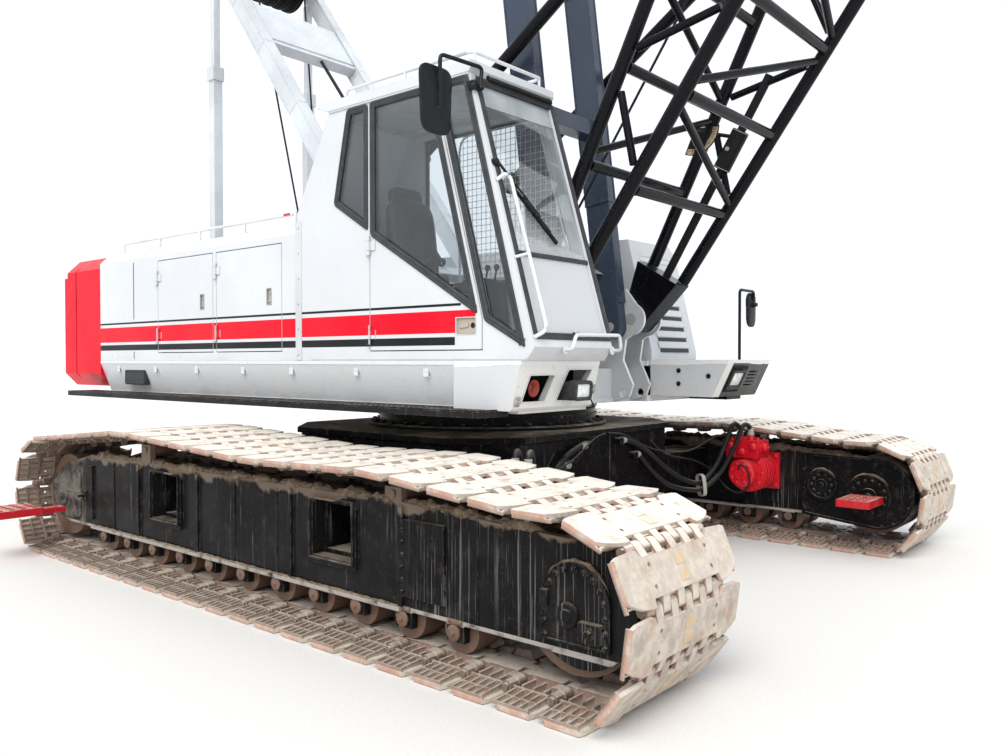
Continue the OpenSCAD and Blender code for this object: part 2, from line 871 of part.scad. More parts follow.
// Work lamps in the deck openings, each a housing with a round lens.
module work_lamps() {
    color("gainsboro") {
        box([1440, -1058, 1240 + seat_gap], [1600, -903, 1350]);
        box([1560, 890 + seat_gap, 1255 + seat_gap], [1630, 1115 - seat_gap, 1415 - seat_gap]);
    }
}

// Cab side outline, from the rear foot round to the front foot.
cab_side = [
    [-460, floor_z], [-460, 2490], [-100, cab_roof_z], [1170, cab_roof_z + 5],
    [1650, floor_z + 75], [1590, floor_z]
];
cab_cavity = [
    [-460 + cab_t, floor_z + 30], [-460 + cab_t, 2470], [-80, cab_roof_z - cab_t],
    [1138, cab_roof_z - cab_t], [1598, floor_z + 85], [1560, floor_z + 30]
];
// Windows of the cab's side: rear pane, door pane and front pane.
rear_pane = [[100, 3104], [270, 3104], [270, 2343], [-31, 2523]];
door_pane = [[332, 3112], [842, 3112], [1204, 1780], [332, 2288]];
front_pane = [[923, 3112], [1141, 3112], [1554, 1584], [1304, 1718]];
inner_pane = [[60, 3060], [1080, 3060], [1420, 2000], [60, 2000]];
door_outline = [
    [cab_hinge_x, 1540], [1262, 1540], [1262, 1720], [872, 3130], [cab_hinge_x, 3130]
];
door_opening = [
    [cab_hinge_x - door_gap, 1534], [1270, 1534], [1270, 1721], [880, 3136],
    [cab_hinge_x - door_gap, 3136]
];
// The roof slab over the cab, with the raised panel on it.
roof_slab = [
    [-210, 3176], [-104, 3140], [1172, 3140], [1190, 3162], [1186, 3206], [-178, 3206]
];
roof_panel = [[-150, 3200], [1160, 3200], [1160, 3221], [-150, 3221]];

// The windscreen: X runs up along it from its foot, Z into the cab.
screen_foot = cab_side[4];
screen_run = cab_side[3] - cab_side[4];
screen_low = 50;
screen_high = norm(screen_run) - 20;
screen_y0 = -house_y + cab_t;
screen_y1 = -cab_in - 30;
module on_windscreen() {
    translate([screen_foot.x, 0, screen_foot.y])
        rotate([0, -atan2(screen_run.y, screen_run.x), 0])
            children();
}

module cab_shell() {
    color(paint_white)
        mirror([0, 1, 0])
            for (z = cab_hinge_zs)
                wall_knuckle(cab_hinge_x - door_gap / 2, z);
    color(paint_white)
        difference() {
            union() {
                across(-house_y, -cab_in)
                    polygon(cab_side);
                across(-house_y - 12, -cab_in + 12)
                    polygon(roof_slab);
                across(-house_y + 25, -cab_in - 25)
                    polygon(roof_panel);
            }
            across(-house_y + cab_t, -cab_in - cab_t)
                polygon(cab_cavity);
            across(-house_y - 1, -house_y + cab_t + 1) {
                polygon(rear_pane);
                polygon(door_opening);
                polygon(front_pane);
            }
            across(-cab_in - cab_t - 1, -cab_in + 1)
                polygon(inner_pane);
            on_windscreen()
                box([screen_low, screen_y0, -20], [screen_high, screen_y1, cab_t + 30]);
            box([-470, -house_y + 120, 1900], [-400, -cab_in - 120, 2420]);
        }
}

module cab_glass() {
    color([0.2, 0.24, 0.27, 0.5]) {
        across(-house_y + 12, -house_y + 12 + glass_t) {
            polygon(rear_pane);
            polygon(front_pane);
        }
        across(-cab_in - 20, -cab_in - 20 + glass_t)
            polygon(inner_pane);
        on_windscreen()
            box([screen_low, screen_y0, 16], [screen_high, screen_y1, 16 + glass_t]);
        box([-440, -house_y + 120, 1900], [-440 + glass_t, -cab_in - 120, 2420]);
    }
}

// Seat on its stand, with two lever consoles.
module cab_interior() {
    color([0.12, 0.12, 0.13]) {
        box([330, -1330, floor_z + 30], [700, -950, 1800]);
        box([300, -1370, 1800], [780, -910, 1920]);
        across(-1350, -930)
            polygon([[300, 1910], [420, 1910], [330, 2620], [210, 2620]]);
        for (y = [-1440, -890])
            box([420, y, floor_z + 30], [900, y + 80, 2050]);
        box([1180, -1330, floor_z + 30], [1330, -950, 1560]);
    }
}

cab_hinge_zs = [1610, 2180];
module cab_door() {
    color(paint_white)
        mirror([0, 1, 0])
            for (z = cab_hinge_zs)
                door_knuckle(cab_hinge_x - door_gap / 2, z);
    color(paint_white)
        difference() {
            across(-house_y, -house_y + cab_t - 1)
                polygon(door_outline);
            across(-house_y - 1, -house_y + cab_t + 1)
                polygon(door_pane);
            box([1061, -house_y - 1, 1629], [1218, -house_y + 12, 1726]);
        }
}

module cab_door_glass() {
    color([0.2, 0.24, 0.27, 0.5])
        across(-house_y + 12, -house_y + 12 + glass_t)
            polygon(door_pane);
}

hinge_out = 14;
knuckle_r = 13;
hinge_pin_r = 6;
// The turning half of a hinge: a ring and its leaf on the door's face.
module door_knuckle(x, z) {
    difference() {
        union() {
            translate([x, house_y + hinge_out, z])
                cylinder(h = 60, r = knuckle_r, $fn = 32);
            box([x, house_y, z], [x + 55, house_y + 7, z + 60]);
        }
        translate([x, house_y + hinge_out, z - 1])
            cylinder(h = 62, r = hinge_pin_r + 0.05, $fn = 32);
    }
}

// The fixed half: two rings with the pin, and their leaves on the wall.
module wall_knuckle(x, z) {
    translate([x, house_y + hinge_out, z - 32])
        cylinder(h = 124, r = hinge_pin_r, $fn = 32);
    for (low = [z - 31, z + 61]) {
        translate([x, house_y + hinge_out, low])
            cylinder(h = 30, r = knuckle_r, $fn = 32);
        box([x - 34, house_y, low], [x, house_y + 7, low + 30]);
    }
}

function hinge_zs(z0, z1) = [z0 + 110, z1 - 170];

// A hinged house door with a recessed grip.
module house_door(d) {
    for (z = hinge_zs(door_z0, door_z1))
        door_knuckle(d.x - door_gap / 2, z);
    difference() {
        box([d.x, house_y - wall_t, door_z0], [d.y, house_y, door_z1]);
        box([d.y - 120 - latch_w, house_y - 14, 1880], [d.y - 120, house_y + 1, 2000]);
        box([d.x + 40, house_y - wall_t - 1, door_z0 + 60],
            [d.y - 200, house_y - 12, door_z1 - 60]);
    }
}

module house_door_rear() {
    color(paint_white)
        mirror([0, 1, 0])
            house_door(right_doors[0]);
}

module house_door_front() {
    color(paint_white)
        mirror([0, 1, 0])
            house_door(right_doors[1]);
}

module engine_door() {
    color(paint_white)
        house_door(left_door);
}

tube_r = 12;
module mirrors() {
    color(steel_black) {
        on_windscreen()
            translate([1553, -1478, -40])
                cylinder(h = 40 - seat_gap, r = tube_r, $fn = 32);
        bar([1231, -1478, 3045], [1214, -1445, 3172], tube_r);
        bar([1214, -1436, 3165], [1210, -1790, 3152], tube_r - 1);
        bar([1210, -1784, 3162], [1210, -1784, 2860], tube_r);
        box([1150, -1921, 2720], [1206, -1655, 3100]);
        bar([1500, 1380, floor_z + 8], [1500, 1380, 2060], tube_r);
        bar([1500, 1370, 2050], [1500, 1620, 2050], tube_r);
        box([1478, 1560, 1750], [1495, 1740, 2045]);
    }
}

module handrails() {
    rail_z = house_z + 20 + seat_gap;
    span = 640;
    color(paint_white)
        for (side = [-1, 1])
            for (i = [0 : 4]) {
                x = -3200 + i * span;
                bar([x, side * 1380, rail_z], [x, side * 1380, rail_z + 100], 12);
                if (i < 4)
                    bar([x + 12.3, side * 1380, rail_z + 86],
                        [x + span - 12.3, side * 1380, rail_z + 86], 12);
            }
}

gantry_run = [gantry_foot_x - gantry_x, gantry_z - floor_z];
gantry_len = norm(gantry_run);
gantry_deg = atan2(gantry_z - floor_z, gantry_foot_x - gantry_x);
// Places along the slanted gantry leg, from its foot.
module on_gantry_leg() {
    translate([-gantry_foot_x, 0, floor_z])
        rotate([0, -gantry_deg, 0])
            children();
}

foot_below = 170;
tie_plate_at = 0.742 * gantry_len;
// Height of a front leg's rear face at a place x.
function gantry_under(x) =
    floor_z + (-gantry_foot_x - x - gantry_d / 2 * sin(gantry_deg)) * tan(180 - gantry_deg)
    + gantry_d / 2 * cos(gantry_deg);
module gantry_front() {
    color(paint_white)
        on_gantry_leg() {
            both_sides()
                difference() {
                    box([-foot_below, gantry_y - gantry_w / 2, -gantry_d / 2],
                        [gantry_len - 10, gantry_y + gantry_w / 2, gantry_d / 2]);
                    translate([gantry_len - 90, gantry_y + 60, 0])
                        rotate([90, 0, 0])
                            cylinder(h = 120, r = 40.3, $fn = 48);
                }
            box([tie_plate_at, -gantry_y + gantry_w / 2, -60],
                [tie_plate_at + 500, gantry_y - gantry_w / 2, -40]);
            both_sides()
                cross_bar(-foot_below + 70, 0, plate_in + plate_t + seat_gap, plate_out - seat_gap, 42);
            for (x = [0.18 * gantry_len, tie_plate_at - 50])
                box([x, -gantry_y + gantry_w / 2, -50], [x + 80, gantry_y - gantry_w / 2, 50]);
        }
}

module gantry_rear() {
    color(paint_white)
        both_sides() {
            box([-gantry_x - 45, gantry_y - 45, deck_z + 40 + seat_gap],
                [-gantry_x + 45, gantry_y + 45, 4300]);
            cross_bar(-gantry_x, 1380, plate_in + plate_t + seat_gap, plate_out - seat_gap, 30);
            box([-gantry_x - 32, gantry_y - 32, 4290],
                [-gantry_x + 32, gantry_y + 32, gantry_under(-gantry_x + 32) - seat_gap]);
        }
}

module gantry_sheaves() {
    color(steel_black)
        on_gantry_leg()
            translate([gantry_len - 90, 0, 0]) {
                cross_bar(0, 0, -gantry_y - 70, gantry_y + 70, 40);
                for (y = [-300 : 120 : 300])
                    cross_bar(0, 0, y - 18, y + 18, 230);
            }
}

module on_mast() {
    translate([mast_x, 0, mast_z])
        rotate([0, -mast_deg, 0])
            children();
}

mast_y = plate_in - 5 - mast_w / 2;
module mast_legs() {
    color(mast_blue)
        on_mast() {
            both_sides()
                across(mast_y - mast_w / 2, mast_y + mast_w / 2)
                    difference() {
                        union() {
                            circle(r = mast_d / 2 - 15, $fn = 64);
                            translate([0, -mast_d / 2 + 15])
                                square([200, mast_d - 30]);
                            translate([180, -mast_d / 2])
                                square([mast_l - 180, mast_d]);
                        }
                        circle(r = mast_pin_r + 0.05, $fn = 48);
                        translate([mast_l - 120, 0])
                            circle(r = 45.3, $fn = 48);
                    }
            for (share = [0.2, 0.59, 0.9])
                box([share * mast_l, -mast_y + mast_w / 2, -60],
                    [share * mast_l + 120, mast_y - mast_w / 2, 60]);
        }
}

module mast_sheaves() {
    color(steel_black)
        on_mast()
            translate([mast_l - 120, 0, 0]) {
                cross_bar(0, 0, -mast_y - mast_w / 2 - 10, mast_y + mast_w / 2 + 10, 45);
                for (y = [-240 : 120 : 240])
                    cross_bar(0, 0, y - 18, y + 18, 230);
            }
}

module on_boom() {
    translate([boom_x, 0, boom_z])
        rotate([0, -boom_deg, 0])
            children();
}

chord_s0 = 400;
head_s = 2 * section_l;
head_h = 260;
taper_s = head_s - 2400;
// Half depth and half width of the lattice at a distance s from the foot.
function half_depth(s) = s < section_l
    ? boom_foot_h + (boom_h - boom_foot_h) * s / section_l
    : s < taper_s ? boom_h : boom_h - (boom_h - head_h) * (s - taper_s) / (head_s - taper_s);
function half_width(s) = s < taper_s ? boom_y
    : boom_y - (boom_y - 400) * (s - taper_s) / (head_s - taper_s);
function chord_at(s, side, top) = [s, side * half_width(s), top * half_depth(s)];

// The length by which a tube of radius r along run stays clear of a chord.
function clear_of(run, dir, r) =
    (chord_r + seat_gap + r * abs(run * dir)) / sqrt(1 - (run * dir) * (run * dir));
function chord_dir(c) =
    (chord_at(c.x + 1, c.y, c.z) - chord_at(c.x - 1, c.y, c.z))
    / norm(chord_at(c.x + 1, c.y, c.z) - chord_at(c.x - 1, c.y, c.z));

// A tube from one chord place to another, each [distance, side, top].
module lace(c0, c1, r) {
    a = chord_at(c0.x, c0.y, c0.z);
    b = chord_at(c1.x, c1.y, c1.z);
    run = (b - a) / norm(b - a);
    bar(a + run * clear_of(run, chord_dir(c0), r), b - run * clear_of(run, chord_dir(c1), r), r);
}

// The lattice between s0 and s1: panel frames, side and face lacing.
module lattice(s0, s1) {
    n = round((s1 - s0) / panel_l);
    step = (s1 - s0) / n;
    for (i = [0 : n]) {
        s = s0 + i * step;
        for (top = [-1, 1])
            lace([s, -1, top], [s, 1, top], cross_r);
    }
    for (i = [0 : n - 1]) {
        a = s0 + i * step + 70;
        b = s0 + (i + 1) * step - 70;
        for (side = [-1, 1])
            lace([a, side, i % 2 == 0 ? -1 : 1], [b, side, i % 2 == 0 ? 1 : -1], lace_r);
        for (top = [-1, 1])
            lace([a, i % 2 == 0 ? -top : top, top], [b, i % 2 == 0 ? top : -top, top], lace_r);
    }
}

lug_in = plate_in + plate_t + 13;
lug_out = plate_out - 13;
module boom_base() {
    color(steel_black)
        on_boom() {
            both_sides()
                across(lug_in, lug_out)
                    difference() {
                        union() {
                            circle(r = 95, $fn = 64);
                            polygon([
                                [-10, -94], [chord_s0, -half_depth(chord_s0) - chord_r],
                                [chord_s0, half_depth(chord_s0) + chord_r], [-10, 94]
                            ]);
                        }
                        circle(r = boom_pin_r + 0.05, $fn = 64);
                    }
            for (side = [-1, 1])
                for (top = [-1, 1])
                    bar(chord_at(chord_s0 + chord_r * 0.09, side, top),
                        chord_at(section_l - chord_r * 0.09, side, top), chord_r);
            lattice(980, section_l - 120);
        }
}

module boom_tip() {
    color(steel_black)
        on_boom() {
            for (side = [-1, 1])
                for (top = [-1, 1]) {
                    bar(chord_at(section_l, side, top), chord_at(taper_s, side, top), chord_r);
                    bar(chord_at(taper_s + 8, side, top), chord_at(head_s - 67, side, top), chord_r);
                }
            lattice(section_l + 200, taper_s - 100);
            lattice(taper_s + 250, head_s - 350);
        }
}

axle_low = 300;
sheave_r = 290;
jib_pin_r = 30;
module boom_sheaves() {
    color(steel_black)
        on_boom() {
            both_sides()
                across(330, 470)
                    difference() {
                        polygon([
                            [head_s - 59, -400], [head_s + 60, -430], [head_s + 150, -330],
                            [head_s + 160, 200], [head_s + 60, 330], [head_s - 59, 340]
                        ]);
                        translate([head_s + 20, -axle_low])
                            circle(r = 50.3, $fn = 48);
                        translate([head_s + 90, 130])
                            circle(r = jib_pin_r, $fn = 48);
                    }
            cross_bar(head_s + 20, -axle_low, -520, 520, 50);
            for (y = [-225 : 90 : 225])
                cross_bar(head_s + 20, -axle_low, y - 20, y + 20, sheave_r);
            both_sides()
                bar([head_s - 20, 460, 265], [head_s - 20, 517, 265], 60);
        }
}

// Boom stops: tubes with a bumper end, carried on the boom's top chords.
// With the boom at its upper limit they end just short of the gantry legs.
stop_foot_s = 2990;
stop_deg = 154.5;
stop_gap = 8;
bumper_r = 70;
stop_low = half_depth(stop_foot_s + 60) + chord_r + 0.5;
function turned(p, a) = [p.x * cos(a) - p.y * sin(a), p.x * sin(a) + p.y * cos(a)];
raised_foot = [boom_x, boom_z] + turned([stop_foot_s, stop_low + 60], boom_deg + luff_up);
raised_way = turned([cos(stop_deg), sin(stop_deg)], boom_deg + luff_up);
leg_along = [cos(gantry_deg), sin(gantry_deg)];
leg_normal = [sin(gantry_deg), -cos(gantry_deg)];
stop_len = ((raised_foot - [-gantry_foot_x, floor_z]) * leg_normal - gantry_d / 2 - stop_gap
    - bumper_r * abs(raised_way * leg_along)) / abs(raised_way * leg_normal);
module boom_stops() {
    color(steel_black)
        on_boom()
            both_sides() {
                box([stop_foot_s - 60, gantry_y - 45, stop_low],
                    [stop_foot_s + 60, boom_y + 30, stop_low + 120]);
                start = [stop_foot_s, gantry_y, stop_low + 60];
                way = [cos(stop_deg), 0, sin(stop_deg)];
                bar(start, start + way * stop_len, 45);
                bar(start + way * (stop_len - 130), start + way * stop_len, bumper_r);
            }
}

// Pendant bars from the mast head to the boom head.
mast_tip = [mast_x + (mast_l - 120) * cos(mast_deg), mast_z + (mast_l - 120) * sin(mast_deg)];
// A place on the boom, from its distance and height over the centre line.
function on_boom_at(s, h) = [
    boom_x + s * cos(boom_deg) - h * sin(boom_deg),
    boom_z + s * sin(boom_deg) + h * cos(boom_deg)
];
pendant_eye = on_boom_at(head_s - 20, 265);
pendant_y = 497;
pendant_way = [mast_tip.x - pendant_eye.x, 0, mast_tip.y - pendant_eye.y] / norm(mast_tip - pendant_eye);
module boom_pendants() {
    color(steel_black)
        both_sides() {
            bar([mast_tip.x, pendant_y, mast_tip.y],
                [pendant_eye.x, pendant_y, pendant_eye.y] + pendant_way * (60 + seat_gap), 18);
            cross_bar(mast_tip.x, mast_tip.y, pendant_y - 22, pendant_y + 22, 62);
        }
}

hook_drop = 900;
rope_r = 11;
head_axle = on_boom_at(head_s + 20, -axle_low);
module hook_block() {
    color(paint_red)
        translate([head_axle.x + sheave_r, 0, head_axle.y]) {
            for (y = [-45, 45])
                bar([rope_r + seat_gap, y, -hook_drop + 140], [rope_r + seat_gap, y, 0], rope_r);
            box([-210, -90, -hook_drop - 250], [210, 90, -hook_drop + 150]);
            bar([0, 0, -hook_drop - 250], [0, 0, -hook_drop - 420], 45);
        }
}

carbody();
slew_ring_outer();
side_frame_right();
side_frame_left();
track_right();
track_left();
track_rollers();
drive_tumblers();
idler_wheels();
final_drives();
travel_motors();
travel_hoses();
track_steps();
slew_ring_inner();
turntable_frame();
frame_plates();
foot_pins();
side_decks();
catwalks();
counterweight();
house_right();
house_left();
engine_block();
hoist_drums();
front_deck_right();
front_deck_left();
work_lamps();
cab_shell();
cab_glass();
cab_interior();
mirrors();
handrails();
gantry_front();
gantry_rear();
gantry_sheaves();
cab_door();
cab_door_glass();
house_door_rear();
house_door_front();
engine_door();
mast_legs();
mast_sheaves();
boom_base();
boom_tip();
boom_sheaves();
boom_stops();
boom_pendants();
hook_block();
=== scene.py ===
import bpy
import numpy as np
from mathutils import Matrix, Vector
from mathutils.geometry import tessellate_polygon


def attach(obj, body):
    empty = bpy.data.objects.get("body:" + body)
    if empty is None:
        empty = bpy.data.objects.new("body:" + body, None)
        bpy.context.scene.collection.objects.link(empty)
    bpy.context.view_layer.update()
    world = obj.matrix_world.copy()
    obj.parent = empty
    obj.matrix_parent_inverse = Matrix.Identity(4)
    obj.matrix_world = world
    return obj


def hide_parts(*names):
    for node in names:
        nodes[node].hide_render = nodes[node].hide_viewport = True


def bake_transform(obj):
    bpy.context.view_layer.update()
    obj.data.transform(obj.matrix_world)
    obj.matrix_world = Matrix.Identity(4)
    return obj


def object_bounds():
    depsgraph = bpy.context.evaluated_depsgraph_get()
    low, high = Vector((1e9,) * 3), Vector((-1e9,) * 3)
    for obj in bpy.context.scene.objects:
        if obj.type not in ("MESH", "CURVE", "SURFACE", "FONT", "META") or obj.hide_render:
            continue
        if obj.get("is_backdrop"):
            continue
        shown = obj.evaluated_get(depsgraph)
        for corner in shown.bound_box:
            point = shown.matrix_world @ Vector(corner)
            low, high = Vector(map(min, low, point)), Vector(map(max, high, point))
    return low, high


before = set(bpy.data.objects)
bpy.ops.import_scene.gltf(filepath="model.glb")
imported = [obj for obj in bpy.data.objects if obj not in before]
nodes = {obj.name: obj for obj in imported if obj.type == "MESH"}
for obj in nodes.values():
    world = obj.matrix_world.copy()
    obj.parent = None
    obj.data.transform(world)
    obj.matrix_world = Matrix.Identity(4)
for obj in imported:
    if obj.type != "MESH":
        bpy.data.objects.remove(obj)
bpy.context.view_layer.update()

# Camera, floor and light. The eye is where the photo's two vanishing points and the track
# gauge put it, off the crane's right front corner; pale ground lies under an even bright sky.
eye = Vector((4.549, -5.213, 1.475))
look = Vector((-0.6432, 0.7655, -0.0200))
photo_w = 1008
focal_px = 865.0
sensor_mm = 36.0
camera_data = bpy.data.cameras.new("camera")
camera_data.sensor_width = sensor_mm
camera_data.lens = sensor_mm * focal_px / photo_w
camera_data.clip_end = 2000
camera = bpy.data.objects.new("camera", camera_data)
camera.location = eye
camera.rotation_mode = "QUATERNION"
camera.rotation_quaternion = look.to_track_quat("-Z", "Y")
bpy.context.scene.collection.objects.link(camera)
bpy.context.scene.camera = camera
bpy.context.scene.view_settings.view_transform = "Standard"


def feed(tree, node, sockets):
    """The node's sockets filled, each with a value or by a link from another node's output."""
    for key, value in sockets.items():
        if isinstance(value, bpy.types.NodeSocket):
            tree.links.new(value, node.inputs[key])
        else:
            node.inputs[key].default_value = value


def add(tree, kind, sockets=None, **settings):
    """One shader node with its settings and its sockets."""
    made = tree.nodes.new(kind)
    for key, value in settings.items():
        setattr(made, key, value)
    feed(tree, made, sockets or {})
    return made


def new_finish(name):
    """A material with a Principled shader: the material, its tree and the shader."""
    made = bpy.data.materials.new(name)
    made.use_nodes = True
    return made, made.node_tree, made.node_tree.nodes["Principled BSDF"]


def noise(tree, scale, detail=3.0, rough=0.55, stretch=(1, 1, 1), shift=0.0):
    """Noise over the object's own metres, scale cells a metre, drawn out by stretch."""
    where = add(tree, "ShaderNodeTexCoord").outputs["Object"]
    drawn = add(tree, "ShaderNodeMapping", {"Vector": where, "Scale": stretch,
                                            "Location": (shift, shift, shift)})
    return add(tree, "ShaderNodeTexNoise", {
        "Vector": drawn.outputs[0], "Scale": scale, "Detail": detail, "Roughness": rough
    }).outputs[0]


def remap(tree, value, low, high, to_low=0.0, to_high=1.0):
    """The value's stretch from low to high, drawn smoothly to to_low ... to_high."""
    return add(tree, "ShaderNodeMapRange", {
        "Value": value, "From Min": low, "From Max": high, "To Min": to_low, "To Max": to_high
    }, interpolation_type="SMOOTHSTEP").outputs[0]


def calc(tree, operation, a, b=0.0):
    """One step of arithmetic on two values."""
    return add(tree, "ShaderNodeMath", {0: a, 1: b}, operation=operation).outputs[0]


def times(tree, a, b):
    """The product of two values."""
    return calc(tree, "MULTIPLY", a, b)


def layer(tree, share, under, over):
    """The colour under, covered by the colour over where share is 1."""
    pair = [c if isinstance(c, bpy.types.NodeSocket) else (*c, 1.0) for c in (under, over)]
    return add(tree, "ShaderNodeMix", {0: share, 6: pair[0], 7: pair[1]}, data_type="RGBA").outputs[2]


def bumped(tree, height, strength, depth, **more):
    """The normal as a height in the pattern tips it."""
    sockets = {"Height": height, "Strength": strength, "Distance": depth, **more}
    return add(tree, "ShaderNodeBump", sockets).outputs[0]


def mottled(name, cells, span, dark, pale, rough, bump=None, more=None):
    """A material whose colour goes from dark to pale as noise of these cells goes through span.
    rough is a value, or a noise and its remap; bump is a noise, a strength and a depth."""
    made, tree, shader = new_finish(name)
    if isinstance(rough, tuple):
        rough = remap(tree, noise(tree, *rough[0]), *rough[1])
    feed(tree, shader, {
        "Base Color": layer(tree, remap(tree, noise(tree, *cells), *span), dark, pale),
        "Roughness": rough, **(more or {})
    })
    if bump:
        feed(tree, shader, {"Normal": bumped(tree, noise(tree, *bump[0]), *bump[1:])})
    return made


def mesh_of(name, points, face_sets):
    """Points (n, 3) and sets of faces, each (m, corners), put into a mesh as whole arrays."""
    mesh = bpy.data.meshes.new(name)
    corners = np.concatenate([np.asarray(f, np.int32).ravel() for f in face_sets])
    sizes = np.concatenate([np.full(len(f), np.shape(f)[1], np.int32) for f in face_sets])
    mesh.vertices.add(len(points))
    mesh.vertices.foreach_set("co", np.asarray(points, np.float32).ravel())
    mesh.loops.add(len(corners))
    mesh.loops.foreach_set("vertex_index", corners)
    mesh.polygons.add(len(sizes))
    mesh.polygons.foreach_set("loop_start", (np.cumsum(sizes) - sizes).astype(np.int32))
    mesh.update(calc_edges=True)
    return mesh


def sheet_faces(rows, columns, close_rows=False, close_columns=False):
    """The quads of a grid of rows by columns points, closed round where asked."""
    r = np.arange(rows if close_rows else rows - 1)[:, None]
    c = np.arange(columns if close_columns else columns - 1)[None, :]
    r1, c1 = (r + 1) % rows, (c + 1) % columns
    return np.stack([r * columns + c, r1 * columns + c, r1 * columns + c1, r * columns + c1],
                    -1).reshape(-1, 4)


floor_r = 900.0
floor_rings = np.linspace(0, 1, 40)[1:] ** 3 * floor_r
turn = np.linspace(0, 2 * np.pi, 96, endpoint=False)
floor_points = np.stack([
    np.outer(floor_rings, np.cos(turn)), np.outer(floor_rings, np.sin(turn)),
    np.zeros((len(floor_rings), len(turn)))
], -1).reshape(-1, 3)
floor_mesh = mesh_of("floor", floor_points, [
    sheet_faces(len(floor_rings), len(turn), close_columns=True), np.arange(len(turn))[None, :]
])
floor = bpy.data.objects.new("floor", floor_mesh)
bpy.context.scene.collection.objects.link(floor)
floor_mesh.materials.append(mottled(
    "pale_ground", (90, 6, 0.7), (0.35, 0.7), (0.70, 0.68, 0.65), (0.78, 0.76, 0.73), 0.9,
    more={"Specular IOR Level": 0.1}
))
floor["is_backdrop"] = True

sky = bpy.data.worlds.new("sky")
sky.use_nodes = True
bpy.context.scene.world = sky
sky_light = sky.node_tree.nodes["Background"]
feed(sky.node_tree, sky_light, {"Color": (0.90, 0.945, 1.0, 1.0), "Strength": 1.18})
key_light = bpy.data.lights.new("key", "SUN")
key_light.energy = 2.2
key_light.angle = 0.7
key_light.color = (1.0, 0.98, 0.95)
key = bpy.data.objects.new("key", key_light)
key.rotation_mode = "QUATERNION"
key.rotation_quaternion = Vector((0.30, -0.62, 0.85)).to_track_quat("Z", "Y")
bpy.context.scene.collection.objects.link(key)


# Car body and slew ring. A low box welded from thick plate, painted black,
# with hollow arms for the axles; the ring is bolted on its raised hub.
def worn_edge(tree, radius):
    """1 where a rounded normal leaves the flat one, along outside and inside edges."""
    rounded = add(tree, "ShaderNodeBevel", {"Radius": radius}, samples=4).outputs[0]
    flat = add(tree, "ShaderNodeNewGeometry").outputs["Normal"]
    dot = add(tree, "ShaderNodeVectorMath", {0: rounded, 1: flat},
              operation="DOT_PRODUCT").outputs["Value"]
    return remap(tree, dot, 0.995, 0.80), rounded


def height_of(tree, socket="Z", of="Object"):
    """One of the coordinates of the point, or of the normal, on the object itself."""
    if of == "Object":
        source = add(tree, "ShaderNodeTexCoord").outputs["Object"]
    else:
        source = add(tree, "ShaderNodeNewGeometry").outputs["Normal"]
    return add(tree, "ShaderNodeSeparateXYZ", {0: source}).outputs[socket]


def between(tree, value, low, high, soft=0.001):
    """1 where the value lies from low to high, and 0 outside, over a rim soft wide."""
    rise = remap(tree, value, low - soft, low + soft)
    return times(tree, rise, remap(tree, value, high + soft, high - soft))


def paint(name, colour, gloss, dust=0.3, streaks=0.0, chips=0.3, rust=0.1, mud=0.0,
          under=(0.30, 0.28, 0.26), dirt=(0.42, 0.35, 0.27), specular=0.5, pattern=None,
          drawn=(1, 1, 1)):
    """Paint on steel: patchy colour, dust lying on what faces up, mud thrown at the sides, pale runs
    down them, chipped edges and specks of rust. pattern gives the clean colour where it varies, and
    drawn draws the runs out where the piece leans."""
    made, tree, shader = new_finish(name)
    clean = pattern(tree) if pattern else colour
    patchy = remap(tree, noise(tree, 2.3, 4), 0.3, 0.7)
    if pattern:
        tone = layer(tree, times(tree, patchy, 0.02), clean, (0.45, 0.43, 0.40))
    else:
        paler = tuple(min(1.0, 1.08 * c) for c in clean)
        tone = layer(tree, patchy, tuple(0.88 * c for c in clean), paler)
    edge, rounded = worn_edge(tree, 0.006)
    specks = remap(tree, noise(tree, 38, 5, 0.7), 0.60, 0.66)
    tone = layer(tree, times(tree, specks, rust), tone, (0.16, 0.06, 0.025))
    patch = remap(tree, noise(tree, 16, 5, 0.7, shift=7.0), 0.46, 0.60)
    chipped = times(tree, times(tree, edge, patch), chips)
    tone = layer(tree, chipped, tone, under)
    run = remap(tree, noise(tree, 1.0, 5, 0.65, tuple(46 * s for s in drawn[:2]) + (1.1 * drawn[2],)),
                0.60, 0.70)
    run = times(tree, run, remap(tree, noise(tree, 3.0, 2, shift=3.0), 0.42, 0.62))
    run = times(tree, run, streaks)
    tone = layer(tree, run, tone, (0.55, 0.53, 0.50))
    upward = remap(tree, height_of(tree, "Z", "Normal"), 0.45, 0.95)
    lying = times(tree, upward, remap(tree, noise(tree, 6, 5, 0.65, shift=1.0), 0.25, 0.65))
    soiled = times(tree, lying, dust)
    if mud > 0:
        thrown = remap(tree, noise(tree, 9, 6, 0.72, shift=5.0), 0.52, 0.76)
        soiled = calc(tree, "MAXIMUM", soiled, times(tree, thrown, mud))
    tone = layer(tree, soiled, tone, dirt)
    matt = calc(tree, "MAXIMUM", soiled, calc(tree, "MAXIMUM", chipped, run))
    smear = remap(tree, noise(tree, 5, 4, 0.6, shift=2.0), 0.3, 0.7, gloss - 0.06, gloss + 0.10)
    wavy = times(tree, noise(tree, 3.2, 2), 0.5)
    wavy = calc(tree, "ADD", wavy, times(tree, noise(tree, 260, 2), 0.004))
    wavy = calc(tree, "ADD", wavy, times(tree, matt, 0.02))
    feed(tree, shader, {
        "Base Color": tone, "Roughness": calc(tree, "ADD", smear, times(tree, matt, 0.5)),
        "Specular IOR Level": specular, "Normal": bumped(tree, wavy, 0.35, 0.01, Normal=rounded)
    })
    return made


def dress(finish, *names):
    """The finish on the named solids of the frame, as their only material."""
    for name in names:
        slots = nodes[name].data.materials
        slots.clear()
        slots.append(finish)


